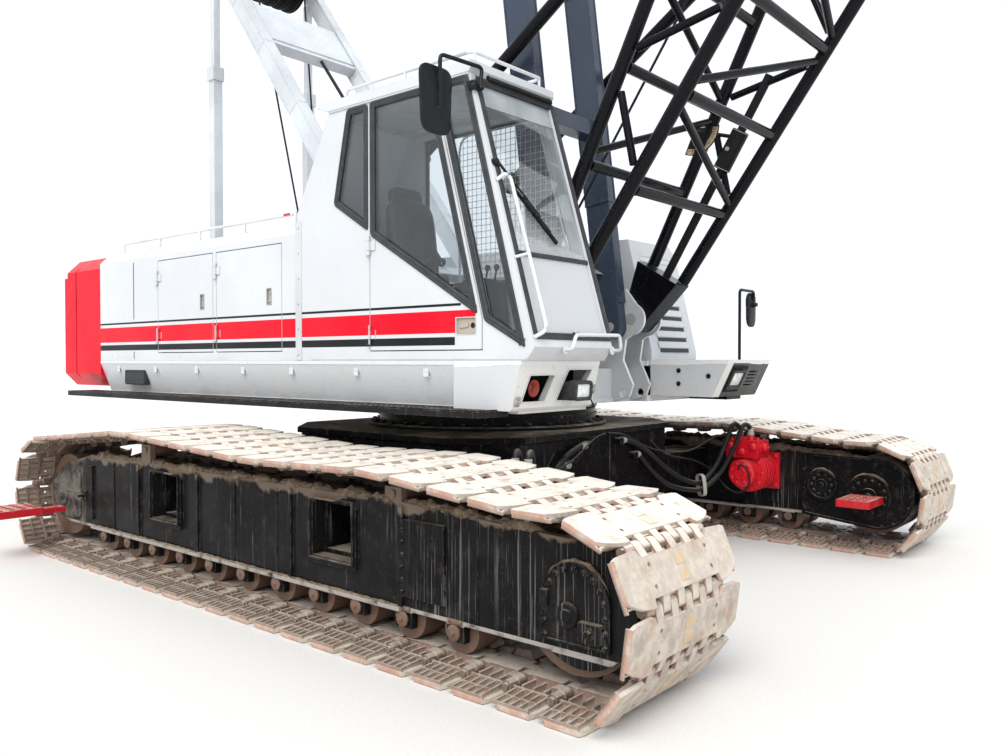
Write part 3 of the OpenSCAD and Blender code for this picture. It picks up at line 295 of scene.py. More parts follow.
def piece(name, part, finish, body, smooth=None):
    """A part as an object at the origin that rides on a body; smooth is the angle, in degrees,
    under which its edges are shaded round."""
    made = bpy.data.objects.new(name, mesh_of(name, *part))
    bpy.context.scene.collection.objects.link(made)
    made.data.materials.append(finish)
    if smooth is None:
        made.data.shade_flat()
    else:
        made.data.shade_smooth()
        made.data.set_sharp_from_angle(angle=np.radians(smooth))
    if body:
        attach(made, body)
    return made


def unit(way):
    """The directions of rows of vectors, each drawn to the length 1."""
    way = np.asarray(way, float)
    return way / np.linalg.norm(way, axis=-1, keepdims=True)


def joined(parts):
    """Several parts, each (points, face sets), as one part."""
    points, faces, start = [], [], 0
    for part_points, face_sets in parts:
        points.append(part_points)
        faces += [np.asarray(f) + start for f in face_sets]
        start += len(part_points)
    return np.vstack(points), faces


def spread(part, places):
    """The part repeated at each of the places, as whole arrays."""
    points, faces = part
    places = np.asarray(places, float)
    starts = np.arange(len(places))[:, None, None] * len(points)
    sets = [(np.asarray(f)[None] + starts).reshape(-1, np.shape(f)[1]) for f in faces]
    return (places[:, None] + np.asarray(points)[None]).reshape(-1, 3), sets


forward = (1, 0, 0)
leftward = (0, 1, 0)
rightward = (0, -1, 0)
skyward = (0, 0, 1)


def facing(part, way, origin=(0, 0, 0)):
    """The part turned so that its +Z looks along way, and set down at origin."""
    points, faces = part
    way = unit(way)
    side = unit(np.cross(np.eye(3)[np.argmin(np.abs(way))], way))
    return np.asarray(points) @ np.stack([side, np.cross(way, side), way]) + origin, faces


def reversed_faces(points, faces):
    """A part whose points were mirrored, its faces turned so that they look outward again."""
    return points, [np.asarray(f)[:, ::-1] for f in faces]


def mirrored(part):
    """The part's twin on the crane's other side, its faces still outward."""
    return reversed_faces(np.asarray(part[0]) * (1, -1, 1), part[1])


def both(part):
    """The part with its twin on the other side."""
    return joined([part, mirrored(part)])


def inward_of(outline):
    """At each corner of a counter-clockwise outline, the step that moves both edges in by 1."""
    before, after = outline - np.roll(outline, 1, 0), np.roll(outline, -1, 0) - outline
    inward = sum(np.stack([-d[:, 1], d[:, 0]], 1) for d in (unit(before), unit(after)))
    return inward / (np.maximum((inward ** 2).sum(1), 0.4)[:, None] / 2)


def put(points, faces, axes):
    """Rows of a profile's two directions and its depth, moved to the axes that are named."""
    if tuple(axes) in ((0, 2, 1), (2, 1, 0), (1, 0, 2)):
        faces = [f[:, ::-1] for f in faces]
    placed = np.empty_like(points)
    placed[:, list(axes)] = points
    return placed, faces


side_on = (0, 2, 1)
end_on = (1, 2, 0)


def prism(outline, low, high, inset=0.0, axes=(0, 1, 2)):
    """A plate: a counter-clockwise outline raised from low to high, its top rim drawn in by inset
    along the corners' bisectors. axes says where its three directions lie: side_on stands the
    outline up along X and Z, as the crane's side shows it, and end_on along Y and Z."""
    outline = np.asarray(outline, float)
    n = len(outline)
    rims = [(outline, low), (outline, high - inset), (outline + inward_of(outline) * inset, high)]
    if inset == 0:
        rims = [rims[0], (outline, high)]
    points = np.vstack([np.column_stack([rim, np.full(n, z)]) for rim, z in rims])
    walls = sheet_faces(len(rims), n, close_columns=True)[:, ::-1]
    caps = np.stack([np.arange(n)[::-1], np.arange(n) + (len(rims) - 1) * n])
    return put(points, [walls, caps], axes)


def oblong(x0, y0, x1, y1):
    """The corners of a rectangle, counter-clockwise."""
    return [(x0, y0), (x1, y0), (x1, y1), (x0, y1)]


def brick(low, high, inset=0.0):
    """A block from its lowest to its highest corner, its top edges chamfered by inset."""
    (x0, y0, z0), (x1, y1, z1) = low, high
    return prism(oblong(x0, y0, x1, y1), z0, z1, inset)


def arc(cx, cy, r, a0, a1, n):
    """n points of an arc about (cx, cy), from angle a0 to a1 in degrees."""
    a = np.radians(np.linspace(a0, a1, n))
    return np.stack([cx + r * np.cos(a), cy + r * np.sin(a)], 1)


def at_depth(outline, y):
    """An upright outline's points, X and Z, as places at the depth y."""
    return np.insert(np.asarray(outline, float), 1, y, axis=1)


def bolts(places, way, r=0.014, h=0.012):
    """Hexagon heads on round washers, standing along way at each of the places."""
    washer = prism(arc(0, 0, 1.35 * r, 0, 330, 12), 0, 0.2 * h, 0.04 * h)
    head = prism(arc(0, 0, r, 0, 300, 6), 0.2 * h, h, 0.2 * h)
    return spread(facing(joined([washer, head]), way), places)


def lathe(profile, sides=24):
    """A turned piece about +Z: rows of radius and height run from its foot, up its outside
    and over to its middle; each row is carried round the axis, and both ends are closed."""
    profile = np.asarray(profile, float)
    a = np.arange(sides) * 2 * np.pi / sides
    points = np.stack([profile[:, :1] * np.cos(a), profile[:, :1] * np.sin(a),
                       np.repeat(profile[:, 1:], sides, 1)], -1).reshape(-1, 3)
    last = (len(profile) - 1) * sides
    caps = np.stack([np.arange(sides)[::-1], np.arange(sides) + last])
    return points, [sheet_faces(len(profile), sides, close_columns=True)[:, ::-1], caps]


def turned_ring(section, sides):
    """A ring turned about +Z from a closed section, given as a lathe's profile is."""
    faces = sheet_faces(len(section), sides, close_rows=True, close_columns=True)[:, ::-1]
    return lathe(section, sides)[0], [faces]


def rod(path, radius, sides=8):
    """A round bar along a line of points, its ends closed: each ring stands square to the
    bisector of the legs that meet there, at its own radius where a row of them is given."""
    path = np.asarray(path, float)
    legs = unit(np.diff(path, axis=0))
    way = unit(np.vstack([legs[:1], legs[:-1] + legs[1:], legs[-1:]]))
    spare = np.eye(3)[np.argmin(np.abs(way).max(0))]
    u = unit(np.cross(way, spare))
    v = np.cross(way, u)
    a = (np.arange(sides) * 2 * np.pi / sides)[None, :, None]
    thick = np.broadcast_to(np.asarray(radius, float), len(path))[:, None, None]
    points = path[:, None] + thick * (np.cos(a) * u[:, None] + np.sin(a) * v[:, None])
    ring = np.arange(sides)
    caps = np.stack([ring[::-1], ring + (len(path) - 1) * sides])
    return points.reshape(-1, 3), [sheet_faces(len(path), sides, close_columns=True)[:, ::-1], caps]


def eased(line, r, steps=4, closed=True):
    """A line of points with its corners rounded: each gives way to a parabola that leaves one leg
    and joins the next r from the corner."""
    p = np.asarray(line, float)
    r = np.broadcast_to(np.asarray(r, float), len(p))[:, None]
    back, on = unit(np.roll(p, 1, 0) - p), unit(np.roll(p, -1, 0) - p)
    t = np.linspace(0, 1, steps)[None, :, None]
    leave, join = (p + back * r)[:, None], (p + on * r)[:, None]
    curve = (1 - t) ** 2 * leave + 2 * t * (1 - t) * p[:, None] + t ** 2 * join
    if closed:
        return curve.reshape(-1, p.shape[1])
    return np.vstack([p[:1], curve[1:-1].reshape(-1, p.shape[1]), p[-1:]])


def trim(outline, section, axes=(0, 1, 2)):
    """A moulding along a closed counter-clockwise outline: rows of the section are the distance
    inward from it and the height, from the outer foot up, over and down, mitred at the corners."""
    outline, section = np.asarray(outline, float), np.asarray(section, float)
    n, m = len(outline), len(section)
    flat = outline[:, None] + inward_of(outline)[:, None] * section[None, :, :1]
    points = np.concatenate([flat, np.broadcast_to(section[None, :, 1:], (n, m, 1))], -1).reshape(-1, 3)
    return put(points, [sheet_faces(n, m, close_rows=True, close_columns=True)], axes)


black_paint = paint("black_paint", (0.007, 0.007, 0.008), 0.26, dust=0.8, streaks=0.25, chips=0.5,
                    rust=0.35, mud=0.08, specular=0.06)
dress(black_paint, "carbody", "slew_ring_outer", "slew_ring_inner")
ring_r = 0.857
flange_rim = trim(arc(0, 0, ring_r + 0.085, 0, 354, 60),
                  [(0, 0.984), (0, 1.004), (0.012, 1.010), (0.09, 1.010), (0.09, 0.984)])
lip_section = [(0, 1.060), (0, 1.078), (0.02, 1.078), (0.02, 1.060)]
flange_lip = trim(arc(0, 0, ring_r + 0.012, 0, 354, 60), lip_section)
bolt_circle = arc(0, 0, ring_r + 0.045, 0, 350, 36)
ring_bolts = bolts([(x, y, 1.010) for x, y in bolt_circle], skyward, 0.019, 0.022)
piece("slew_ring_bolts", joined([flange_rim, ring_bolts, flange_lip]), black_paint, "undercarriage",
      35)
weld_line = eased(np.array([(-1.08, -0.92), (-0.75, -1.25), (0.75, -1.25), (1.08, -0.92),
                            (1.08, 0.92), (0.75, 1.25), (-0.75, 1.25), (-1.08, 0.92)]), 0.02, 3)
weld_beads = trim(weld_line, [(0.002, 0.945), (0.002, 0.928), (-0.004, 0.931), (-0.010, 0.945)])
piece("carbody_welds", weld_beads, black_paint, "undercarriage", 60)


# Side frames. Deep welded boxes that carry the rollers, painted black over old paint:
# collars round the axle arms, a joint bar, a worn ledge and packed dirt along the top.
track_y = 2.005
frame_half = 0.245
cover_x, cover_z = 2.460, 0.455


def frame_colours(tree):
    """Black paint, with the ledge along the foot scraped to bare steel and dusty joint edges."""
    black = (0.007, 0.007, 0.008)
    height = height_of(tree)
    scraped = remap(tree, noise(tree, 11, 4), 0.25, 0.5)
    worn = times(tree, between(tree, height, 0.224, 0.2505), scraped)
    tone = layer(tree, worn, black, (0.34, 0.31, 0.28))
    drips = remap(tree, noise(tree, 1.0, 6, 0.7, (105, 1, 1.1), 5.0), 0.57, 0.64)
    drips = times(tree, drips, remap(tree, height_of(tree, "X"), 1.44, 1.50, 0.03, 0.38))
    tone = layer(tree, drips, tone, (0.34, 0.32, 0.30))
    back = remap(tree, height_of(tree, "X"), -2.05, -2.12)
    patch = remap(tree, noise(tree, 7, 5, 0.7, shift=8.0), 0.35, 0.6)
    tone = layer(tree, times(tree, times(tree, back, patch), 0.75), tone, (0.17, 0.15, 0.13))
    crown = remap(tree, noise(tree, 5, 4, 0.6, shift=2.5), 0.25, 0.75, 0.70, 0.80)
    above = remap(tree, calc(tree, "SUBTRACT", height, crown), -0.03, 0.0)
    return layer(tree, times(tree, above, 0.85), tone, (0.20, 0.15, 0.11))


frame_paint = paint("frame_paint", None, 0.26, dust=0.5, streaks=0.25, chips=0.45, rust=0.25, mud=0.05,
                    specular=0.04, pattern=frame_colours)
dress(frame_paint, "side_frame_right", "side_frame_left")


def steel_parts():
    """The right frame's fittings, drawn on the left frame's outer web and mirrored."""
    web = track_y + frame_half
    parts = []
    for x in (-0.870, 0.870):
        ring = np.array(oblong(x - 0.185, 0.395, x + 0.185, 0.735))
        parts.append(trim(ring, [(0, web + 0.02), (0, web + 0.034), (0.010, web + 0.036),
                                 (0.014, web + 0.02)], side_on))
    cover = arc(cover_x, cover_z, 0.150, 10, 170, 9)
    places = at_depth(cover, web + 0.020)
    parts.append(bolts(places, leftward, 0.013, 0.012))
    low_row = [(x, web + 0.020, z) for x in (2.305, 2.615) for z in (0.42, 0.36, 0.30)]
    parts.append(bolts(low_row, leftward, 0.013, 0.012))
    parts.append(trim(eased(np.vstack([arc(cover_x, cover_z, 0.177, 0, 180, 24),
                                       [(2.283, 0.282), (2.637, 0.282)]]), 0.004, 2),
                      [(0, web), (0, web + 0.024), (0.008, web + 0.024), (0.010, web + 0.016)],
                      side_on))
    small_cover = lathe([(0.001, 0), (0.056, 0), (0.056, 0.012), (0.050, 0.017), (0.030, 0.018),
                         (0.026, 0.024), (0.001, 0.024)], 28)
    parts.append(facing(small_cover, leftward, (2.429, web + 0.020, 0.405)))
    ear = eased(oblong(2.490, 0.310, 2.610, 0.398), 0.014)
    parts.append(prism(ear, web + 0.018, web + 0.046, 0.004, side_on))
    parts.append(bolts([(2.55, web + 0.046, 0.354)], leftward, 0.019, 0.018))
    latch = eased(oblong(2.288, 0.428, 2.330, 0.500), 0.006)
    parts.append(prism(latch, web + 0.018, web + 0.040, 0.004, side_on))
    bar_bolts = [(1.413, web + 0.018, z) for z in np.linspace(0.33, 0.70, 7)]
    parts.append(bolts(bar_bolts, leftward, 0.010, 0.010))
    ribs = [(-1.62, 0.006), (-0.08, 0.006), (0.35, 0.006), (1.90, 0.006)]
    for x, high in ribs:
        parts.append(prism([(x - 0.008, 0.252), (x + 0.008, 0.252), (x + 0.006, 0.742),
                            (x - 0.006, 0.742)], web - 0.002, web + high, 0.003, side_on))
    plate = eased(oblong(-2.10, 0.42, -2.02, 0.50), 0.012)
    parts.append(prism(plate, web + 0.014, web + 0.026, 0.003, side_on))
    grease = lathe([(0.001, 0), (0.016, 0), (0.016, 0.010), (0.009, 0.014), (0.009, 0.026),
                    (0.012, 0.028), (0.010, 0.040), (0.001, 0.044)], 12)
    parts.append(facing(grease, leftward, (-2.06, web + 0.024, 0.46)))
    parts.append(bolts([(x, web + 0.026, z) for x in (-2.088, -2.032) for z in (0.432, 0.488)],
                       leftward, 0.007, 0.006))
    nose = eased([(-2.48, 0.262), (-2.20, 0.262), (-2.14, 0.30), (-2.14, 0.62), (-2.22, 0.66),
                  (-2.40, 0.62), (-2.61, 0.53), (-2.61, 0.42)], 0.03)
    parts.append(prism(nose, web - 0.003, web + 0.012, 0.005, side_on))
    parts.append(rod([(-2.60, web + 0.012, 0.475), (-2.30, web + 0.014, 0.475),
                      (-2.15, web + 0.012, 0.47)], 0.006, 6))
    cap = lathe([(0.001, 0), (0.085, 0), (0.085, 0.012), (0.078, 0.018), (0.040, 0.020), (0.036, 0.028),
                 (0.001, 0.028)], 32)
    parts.append(facing(cap, leftward, (-2.430, web + 0.010, 0.430)))
    return mirrored(joined(parts))


fittings = steel_parts()
piece("side_frame_fittings_right", fittings, frame_paint, "undercarriage", 35)
piece("side_frame_fittings_left", mirrored(fittings), frame_paint, "undercarriage", 35)

packed_dirt = mottled("packed_dirt", (22, 6, 0.75), (0.30, 0.70), (0.11, 0.075, 0.05),
                      (0.33, 0.25, 0.18), 0.95, more={"Specular IOR Level": 0.15})
tree = packed_dirt.node_tree
clods = calc(tree, "ADD", noise(tree, 30, 6, 0.8), times(tree, noise(tree, 130, 3), 0.3))
feed(tree, tree.nodes["Principled BSDF"], {"Normal": bumped(tree, clods, 0.9, 0.012)})


def dirt_ridge(line, half, high, seed, count=420, sides=9):
    """A bank of dirt along a line of points: a half ellipse, half wide and high, whose size is
    shaken along the line by sines of unlike lengths, and which ends in two points."""
    line = np.asarray(line, float)
    run = np.concatenate([[0], np.cumsum(np.linalg.norm(np.diff(line, axis=0), axis=1))])
    s = np.linspace(0, run[-1], count)
    middle = np.stack([np.interp(s, run, line[:, k]) for k in range(3)], 1)
    rng = np.random.default_rng(seed)
    waves = rng.uniform(8, 120, 12)
    shifts = rng.uniform(0, 6.3, 12)
    shake = (np.sin(s[:, None] * waves + shifts) / np.sqrt(waves / 8)).sum(1) / 3
    size = np.clip(0.75 + 0.35 * shake, 0.15, 1.4) * np.clip(np.minimum(s, run[-1] - s) / 0.08, 0.02, 1)
    a = np.linspace(0, np.pi, sides)
    rough = 1 + 0.18 * np.sin(s[:, None] * 63 + 5 * a) * np.sin(s[:, None] * 31 - 3 * a)
    across = half * size[:, None] * rough * np.cos(a)
    up = high * size[:, None] * rough * np.sin(a)
    points = np.stack([np.repeat(middle[:, :1], sides, 1), middle[:, 1:2] + across, middle[:, 2:] + up],
                      -1)
    grid = sheet_faces(count, sides, close_columns=True)[:, ::-1]
    caps = np.stack([np.arange(sides)[::-1], np.arange(sides) + (count - 1) * sides])
    return points.reshape(-1, 3), [grid, caps]


top_line = [(-1.97, 0.768), (1.40, 0.768), (2.30, 0.728)]
banks = []
for k, (y, half, high) in enumerate(((-2.222, 0.034, 0.042), (-2.00, 0.15, 0.030),
                                     (-1.788, 0.034, 0.040))):
    line = [(x, y, z - (0.05 if half > 0.1 else 0.006)) for x, z in top_line]
    banks.append(dirt_ridge(line, half, high, 11 + k))
banks.append(dirt_ridge([(-1.93, -2.262, 0.249), (1.38, -2.262, 0.249)], 0.014, 0.012, 19))
cover_bank = at_depth(arc(cover_x, cover_z, 0.178, 160, 20, 20), -2.258)
banks.append(dirt_ridge(cover_bank, 0.012, 0.016, 23, 160))
piece("frame_dirt_right", joined(banks), packed_dirt, "undercarriage", 60)
piece("frame_dirt_left", mirrored(joined(banks)), packed_dirt, "undercarriage", 60)


# Rollers, tumblers and idlers. Cast steel wheels on greased shafts, never painted
# again: brown with rust, polished where the shoes' paths run on them.
rusty_steel = paint("rusty_steel", (0.15, 0.085, 0.055), 0.50, dust=0.5, streaks=0.0, chips=0.8,
                    rust=0.9, mud=0.5, under=(0.40, 0.35, 0.31), dirt=(0.26, 0.19, 0.14))
dress(rusty_steel, "track_rollers", "drive_tumblers", "idler_wheels")
roller_x = np.linspace(-1.760, 1.760, 11)
end_cap = lathe([(0.001, 0), (0.040, 0), (0.040, 0.010), (0.034, 0.014), (0.012, 0.014), (0.010, 0.022),
                 (0.001, 0.022)], 18)
cap_places = np.column_stack([roller_x, np.full(11, track_y + frame_half + 0.007), np.full(11, 0.1903)])
roller_caps = spread(facing(end_cap, leftward), cap_places)
keeper = prism(oblong(-0.045, -0.012, 0.045, 0.012), 0, 0.010, 0.003, side_on)
keepers = spread(keeper, cap_places + (0, -0.007, 0.052))
keeper_places = np.vstack([cap_places + (x, 0.003, 0.052) for x in (-0.030, 0.030)])
keeper_bolts = bolts(keeper_places, leftward, 0.008, 0.008)
piece("roller_shaft_ends", both(joined([roller_caps, keepers, keeper_bolts])), rusty_steel,
      "undercarriage", 35)

# Final drives. A flat gear case bolted inside the front of each frame, painted black:
# two round covers with raised rims, each on a ring of small bolts.
dress(black_paint, "final_drives")
case_face = 1.680


def drive_trim():
    """The left case's rims and bolts; its face looks to the crane's middle."""
    parts = []
    for x, z, r, count in ((2.430, 0.430, 0.165, 14), (2.070, 0.490, 0.118, 10)):
        rim = [(0, case_face - 0.002), (0, case_face + 0.026), (0.010, case_face + 0.030),
               (0.020, case_face + 0.026), (0.022, case_face + 0.010)]
        circle = arc(x, z, r + 0.003, 0, 352.5, 48)
        points, faces = mirrored(trim(circle, rim, side_on))
        parts.append((points + (0, 2 * case_face, 0), faces))
        ring = arc(x, z, r - 0.040, 0, 360 - 360 / count, count)
        parts.append(bolts(at_depth(ring, case_face - 0.020), rightward,
                           0.010, 0.010))
        hub = lathe([(0.001, 0), (0.4 * r, 0), (0.38 * r, 0.008), (0.16 * r, 0.010), (0.14 * r, 0.016),
                     (0.001, 0.016)], 32)
        parts.append(facing(hub, rightward, (x, case_face - 0.020, z)))
    edge = np.vstack([arc(2.480, 0.455, 0.262, -88, 82, 14), [(1.93, 0.72), (1.93, 0.255)]])
    rows = np.vstack([arc(2.480, 0.455, 0.250, -80, 76, 9), [(1.925, z) for z in (0.30, 0.45, 0.60)]])
    parts.append(bolts(at_depth(rows, case_face), rightward, 0.009, 0.009))
    points, faces = mirrored(trim(edge, [(0, 0), (0, 0.006), (0.004, 0.006), (0.006, 0)], side_on))
    parts.append((points + (0, case_face + 0.001, 0), faces))
    return joined(parts)


case_trim = both(drive_trim())
piece("final_drive_covers", case_trim, black_paint, "undercarriage", 35)
rim_dirt = []
for x, z, r in ((2.430, 0.430, 0.172), (2.070, 0.490, 0.125)):
    ring = arc(x, z, r, 150, 30, 16)
    rim_dirt.append(dirt_ridge(at_depth(ring, case_face - 0.008), 0.012, 0.012, 31, 120))
rim_dirt.append(dirt_ridge([(1.93, 1.720, 0.728), (2.30, 1.720, 0.722), (2.44, 1.720, 0.716)], 0.034,
                           0.024, 37, 160))
piece("final_drive_dirt", both(joined(rim_dirt)), packed_dirt, "undercarriage", 60)

# Travel motors. A ribbed cast motor on a square flange inside each frame, with its
# valve block on top, all sprayed red, fed by four black hoses and drained by a thin line.
red_paint = paint("red_paint", (0.62, 0.008, 0.020), 0.24, dust=0.2, streaks=0.12, chips=0.35, rust=0.2,
                  dirt=(0.40, 0.26, 0.19))
dress(red_paint, "travel_motors")
motor_x, motor_z = 1.530, 0.565


def motor_trim():
    """The left motor's ribs, bolts, plugs and block screws; it looks to the crane's middle."""
    parts = []
    for y in (1.650, 1.600, 1.550, 1.500):
        ring = lathe([(0.12, 0), (0.160, 0), (0.163, 0.005), (0.163, 0.013), (0.160, 0.018),
                      (0.12, 0.018)], 40)
        parts.append(facing(ring, rightward, (motor_x, y, motor_z)))
    face = lathe([(0.001, 0), (0.108, 0), (0.108, 0.016), (0.098, 0.028), (0.050, 0.032),
                  (0.046, 0.044), (0.001, 0.044)], 36)
    parts.append(facing(face, rightward, (motor_x, 1.370, motor_z)))
    ring = arc(motor_x, motor_z, 0.080, 20, 340, 8)
    parts.append(bolts(at_depth(ring, 1.345), rightward, 0.011, 0.012))
    ring = arc(motor_x, motor_z, 0.132, 0, 324, 10)
    parts.append(bolts(at_depth(ring, 1.462), rightward, 0.011, 0.014))
    corners = [(x, 1.708, z) for x in (1.395, 1.672) for z in (0.442, 0.688)]
    parts.append(bolts(corners, rightward, 0.017, 0.018))
    for x, z in ((1.41, 0.78), (1.60, 0.78), (1.505, 0.735)):
        plug = lathe([(0.001, 0), (0.030, 0), (0.030, 0.012), (0.022, 0.018), (0.018, 0.030),
                      (0.001, 0.030)], 12)
        parts.append(facing(plug, rightward, (x, 1.422, z)))
    for y in (1.47, 1.59):
        for x in (1.398, 1.62):
            parts.append(bolts([(x, y, 0.829)], skyward, 0.012, 0.014))
    spool = lathe([(0.001, 0), (0.038, 0), (0.038, 0.030), (0.030, 0.040), (0.012, 0.044),
                   (0.010, 0.058), (0.001, 0.058)], 20)
    parts.append(facing(spool, forward, (1.638, 1.53, 0.770)))
    parts.append(facing(spool, (-1, 0, 0), (1.372, 1.53, 0.770)))
    cover = eased(oblong(1.42, 1.45, 1.58, 1.60), 0.012)
    parts.append(prism(cover, 0.828, 0.846, 0.004))
    return joined(parts)


piece("travel_motor_castings", both(motor_trim()), red_paint, "undercarriage", 35)

hose_rubber = paint("hose_rubber", (0.011, 0.011, 0.012), 0.38, dust=0.45, chips=0.0, rust=0.0,
                    specular=0.2)
bare_steel = paint("bare_steel", (0.36, 0.34, 0.31), 0.34, dust=0.3, chips=0.3, rust=0.5)
hose_r = 0.019
port_y, port_z = 1.455, 0.8703
inner_rows = [(1.105, 0, 0.885), (1.105, 0.034, 0.885), (1.112, 0.107, 0.868), (1.118, 0.205, 0.825),
              (1.135, 0.319, 0.745), (1.175, 0.466, 0.620), (1.235, 0.621, 0.520),
              (1.300, 0.727, 0.500), (1.365, 0.808, 0.610), (1.400, 0.866, 0.740),
              (1.420, 0.902, 0.840), (1.430, 0.923, 0.900), (1.437, 0.935, 0.940),
              (1.452, 0.962, 0.958), (1.467, 0.988, 0.940), (1.475, 1, 0.905), (1.475, 1, port_z)]
outer_rows = [(1.105, 0, 0.765), (1.105, 0.041, 0.765), (1.120, 0.109, 0.700), (1.140, 0.206, 0.610),
              (1.185, 0.352, 0.505), (1.250, 0.537, 0.450), (1.320, 0.674, 0.452),
              (1.395, 0.786, 0.555), (1.450, 0.839, 0.680), (1.495, 0.878, 0.800),
              (1.523, 0.907, 0.900), (1.530, 0.922, 0.940), (1.545, 0.954, 0.958),
              (1.560, 0.985, 0.940), (1.568, 1, 0.905), (1.568, 1, port_z)]


def flowing(points, steps=5):
    """A smooth line through the points: between each two, the cubic whose slope at either end is
    half the step from the point before to the point after."""
    p = np.asarray(points, float)
    slope = np.vstack([p[1:2] - p[:1], (p[2:] - p[:-2]) / 2, p[-1:] - p[-2:-1]])
    t = np.linspace(0, 1, steps, endpoint=False)[None, :, None]
    curve = ((2 * t ** 3 - 3 * t ** 2 + 1) * p[:-1, None] + (t ** 3 - 2 * t ** 2 + t) * slope[:-1, None]
             + (3 * t ** 2 - 2 * t ** 3) * p[1:, None] + (t ** 3 - t ** 2) * slope[1:, None])
    return np.vstack([curve.reshape(-1, p.shape[1]), p[-1:]])


hoses, hose_ends = [], []
cuff = lathe([(0.001, 0), (0.026, 0), (0.028, 0.004), (0.028, 0.020), (0.023, 0.022), (0.0225, 0.055),
              (0.020, 0.058), (0.001, 0.058)], 14)
for rows, root in ((inner_rows, 0.2283), (outer_rows, 0.4283)):
    rows = np.array(rows)
    route = np.column_stack([rows[:, 0], root + (port_y - root) * rows[:, 1], rows[:, 2]])
    hoses.append(rod(flowing(route), hose_r, 14))
    hose_ends.append(facing(cuff, route[1] - route[0], route[0]))
    hose_ends.append(facing(cuff, route[-2] - route[-1], route[-1] - (0, 0, 0.0003)))
piece("travel_hose_rubber", both(joined(hoses)), hose_rubber, "undercarriage", 50)
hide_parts("travel_hoses")
piece("travel_hose_fittings", both(joined(hose_ends)), bare_steel, "undercarriage", 35)

clamp_at = np.array((1.300, 1.120, 0.476))
clamp = trim(eased([(-0.020, -0.060), (0.020, -0.060), (0.024, 0.0), (0.020, 0.060), (-0.020, 0.060),
                    (-0.024, 0.0)], 0.012), [(-0.030, -0.016), (-0.030, 0.016), (-0.024, 0.016),
                                             (-0.024, -0.016)])
piece("travel_hose_clamps", both(facing(clamp, (0.45, 0.80, 0.10), clamp_at)), bare_steel,
      "undercarriage", 35)
drain = [(1.52, 1.326, 0.60), (1.55, 1.30, 0.64), (1.60, 1.30, 0.62), (1.62, 1.32, 0.52),
         (1.58, 1.33, 0.44), (1.50, 1.33, 0.41), (1.40, 1.34, 0.45), (1.32, 1.30, 0.56),
         (1.24, 1.15, 0.66), (1.16, 0.80, 0.74), (1.12, 0.62, 0.86)]
pilot = [(1.13, 0.02, 0.955), (1.16, 0.20, 0.93), (1.20, 0.55, 0.80), (1.27, 0.95, 0.76),
         (1.36, 1.25, 0.86), (1.44, 1.42, 0.865)]
thin_lines = both(joined([rod(flowing(drain), 0.007, 8), rod(flowing(pilot), 0.006, 8)]))
piece("travel_motor_lines", thin_lines, hose_rubber, "undercarriage", 50)

# Steps. Red pressed trays with turned-down edges and punched holes, dusty with
# pale earth on top, on the gear cases and out behind the near frame.
step_paint = paint("step_paint", (0.55, 0.010, 0.020), 0.34, dust=0.85, streaks=0.1, chips=0.5,
                   rust=0.25, mud=0.15, dirt=(0.55, 0.44, 0.35))
dress(step_paint, "track_steps")
punch = turned_ring([(0.0150, 0), (0.0190, 0.004), (0.0175, 0.0065), (0.0150, 0.0065), (0.0135, 0.003)],
                    12)
step_x = np.array([2.300 + 0.045 + k * 0.050 for k in range(4)])
step_y = np.array([1.3197 + 0.045 + k * 0.0833 for k in range(4)])
grid = np.stack(np.meshgrid(step_x, step_y, [0.4385], indexing="ij"), -1).reshape(-1, 3)
rear_x = np.array([-2.620 + 0.045 + k * 0.080 for k in range(4)])
rear_y = np.array([2.469 + 0.045 + k * 0.0803 for k in range(4)])
rear_grid = np.stack(np.meshgrid(rear_x, rear_y, [0.3685], indexing="ij"), -1).reshape(-1, 3)
raised = both(joined([spread(punch, grid), spread(punch, rear_grid)]))
piece("step_tread", raised, step_paint, "undercarriage", 40)


# Tracks. Each is an endless chain of 49 wide cast-steel shoes on loose pins:
# a flat sole, ribs and roller paths inside, and a comb of hinge lugs at both ends.
track_gauge = 4.010
shoe_w = 0.914
shoe_count = 49
sole_d = 0.050
shoe_in = 0.030
guide_w = 0.090
guide_d = 0.034
tumbler_x = 2.430
belly_x = tumbler_x + 0.210
pin_path = np.array([
    (belly_x, sole_d), (belly_x + 0.150, 0.255), (belly_x + 0.188, 0.464),
    (belly_x + 0.136, 0.691), (belly_x - 0.090, 0.812), (belly_x - 0.340, 0.808),
    (1.330, 0.906), (0.330, 0.884), (-1.160, 0.961), (-2.530, 0.841),
    (-belly_x - 0.085, 0.730), (-belly_x - 0.172, 0.520),
    (-belly_x - 0.150, 0.280), (-belly_x - 0.010, sole_d)
])


def along(path, count):
    """count points at even spacing round a closed path of straight legs."""
    ring = np.vstack([path, path[:1]])
    laps = np.concatenate([[0], np.cumsum(np.linalg.norm(np.diff(ring, axis=0), axis=1))])
    s = np.linspace(0, laps[-1], count, endpoint=False)
    return np.stack([np.interp(s, laps, ring[:, 0]), np.interp(s, laps, ring[:, 1])], 1)


pins = along(pin_path, shoe_count)
pitch = np.linalg.norm(pins[1] - pins[0])


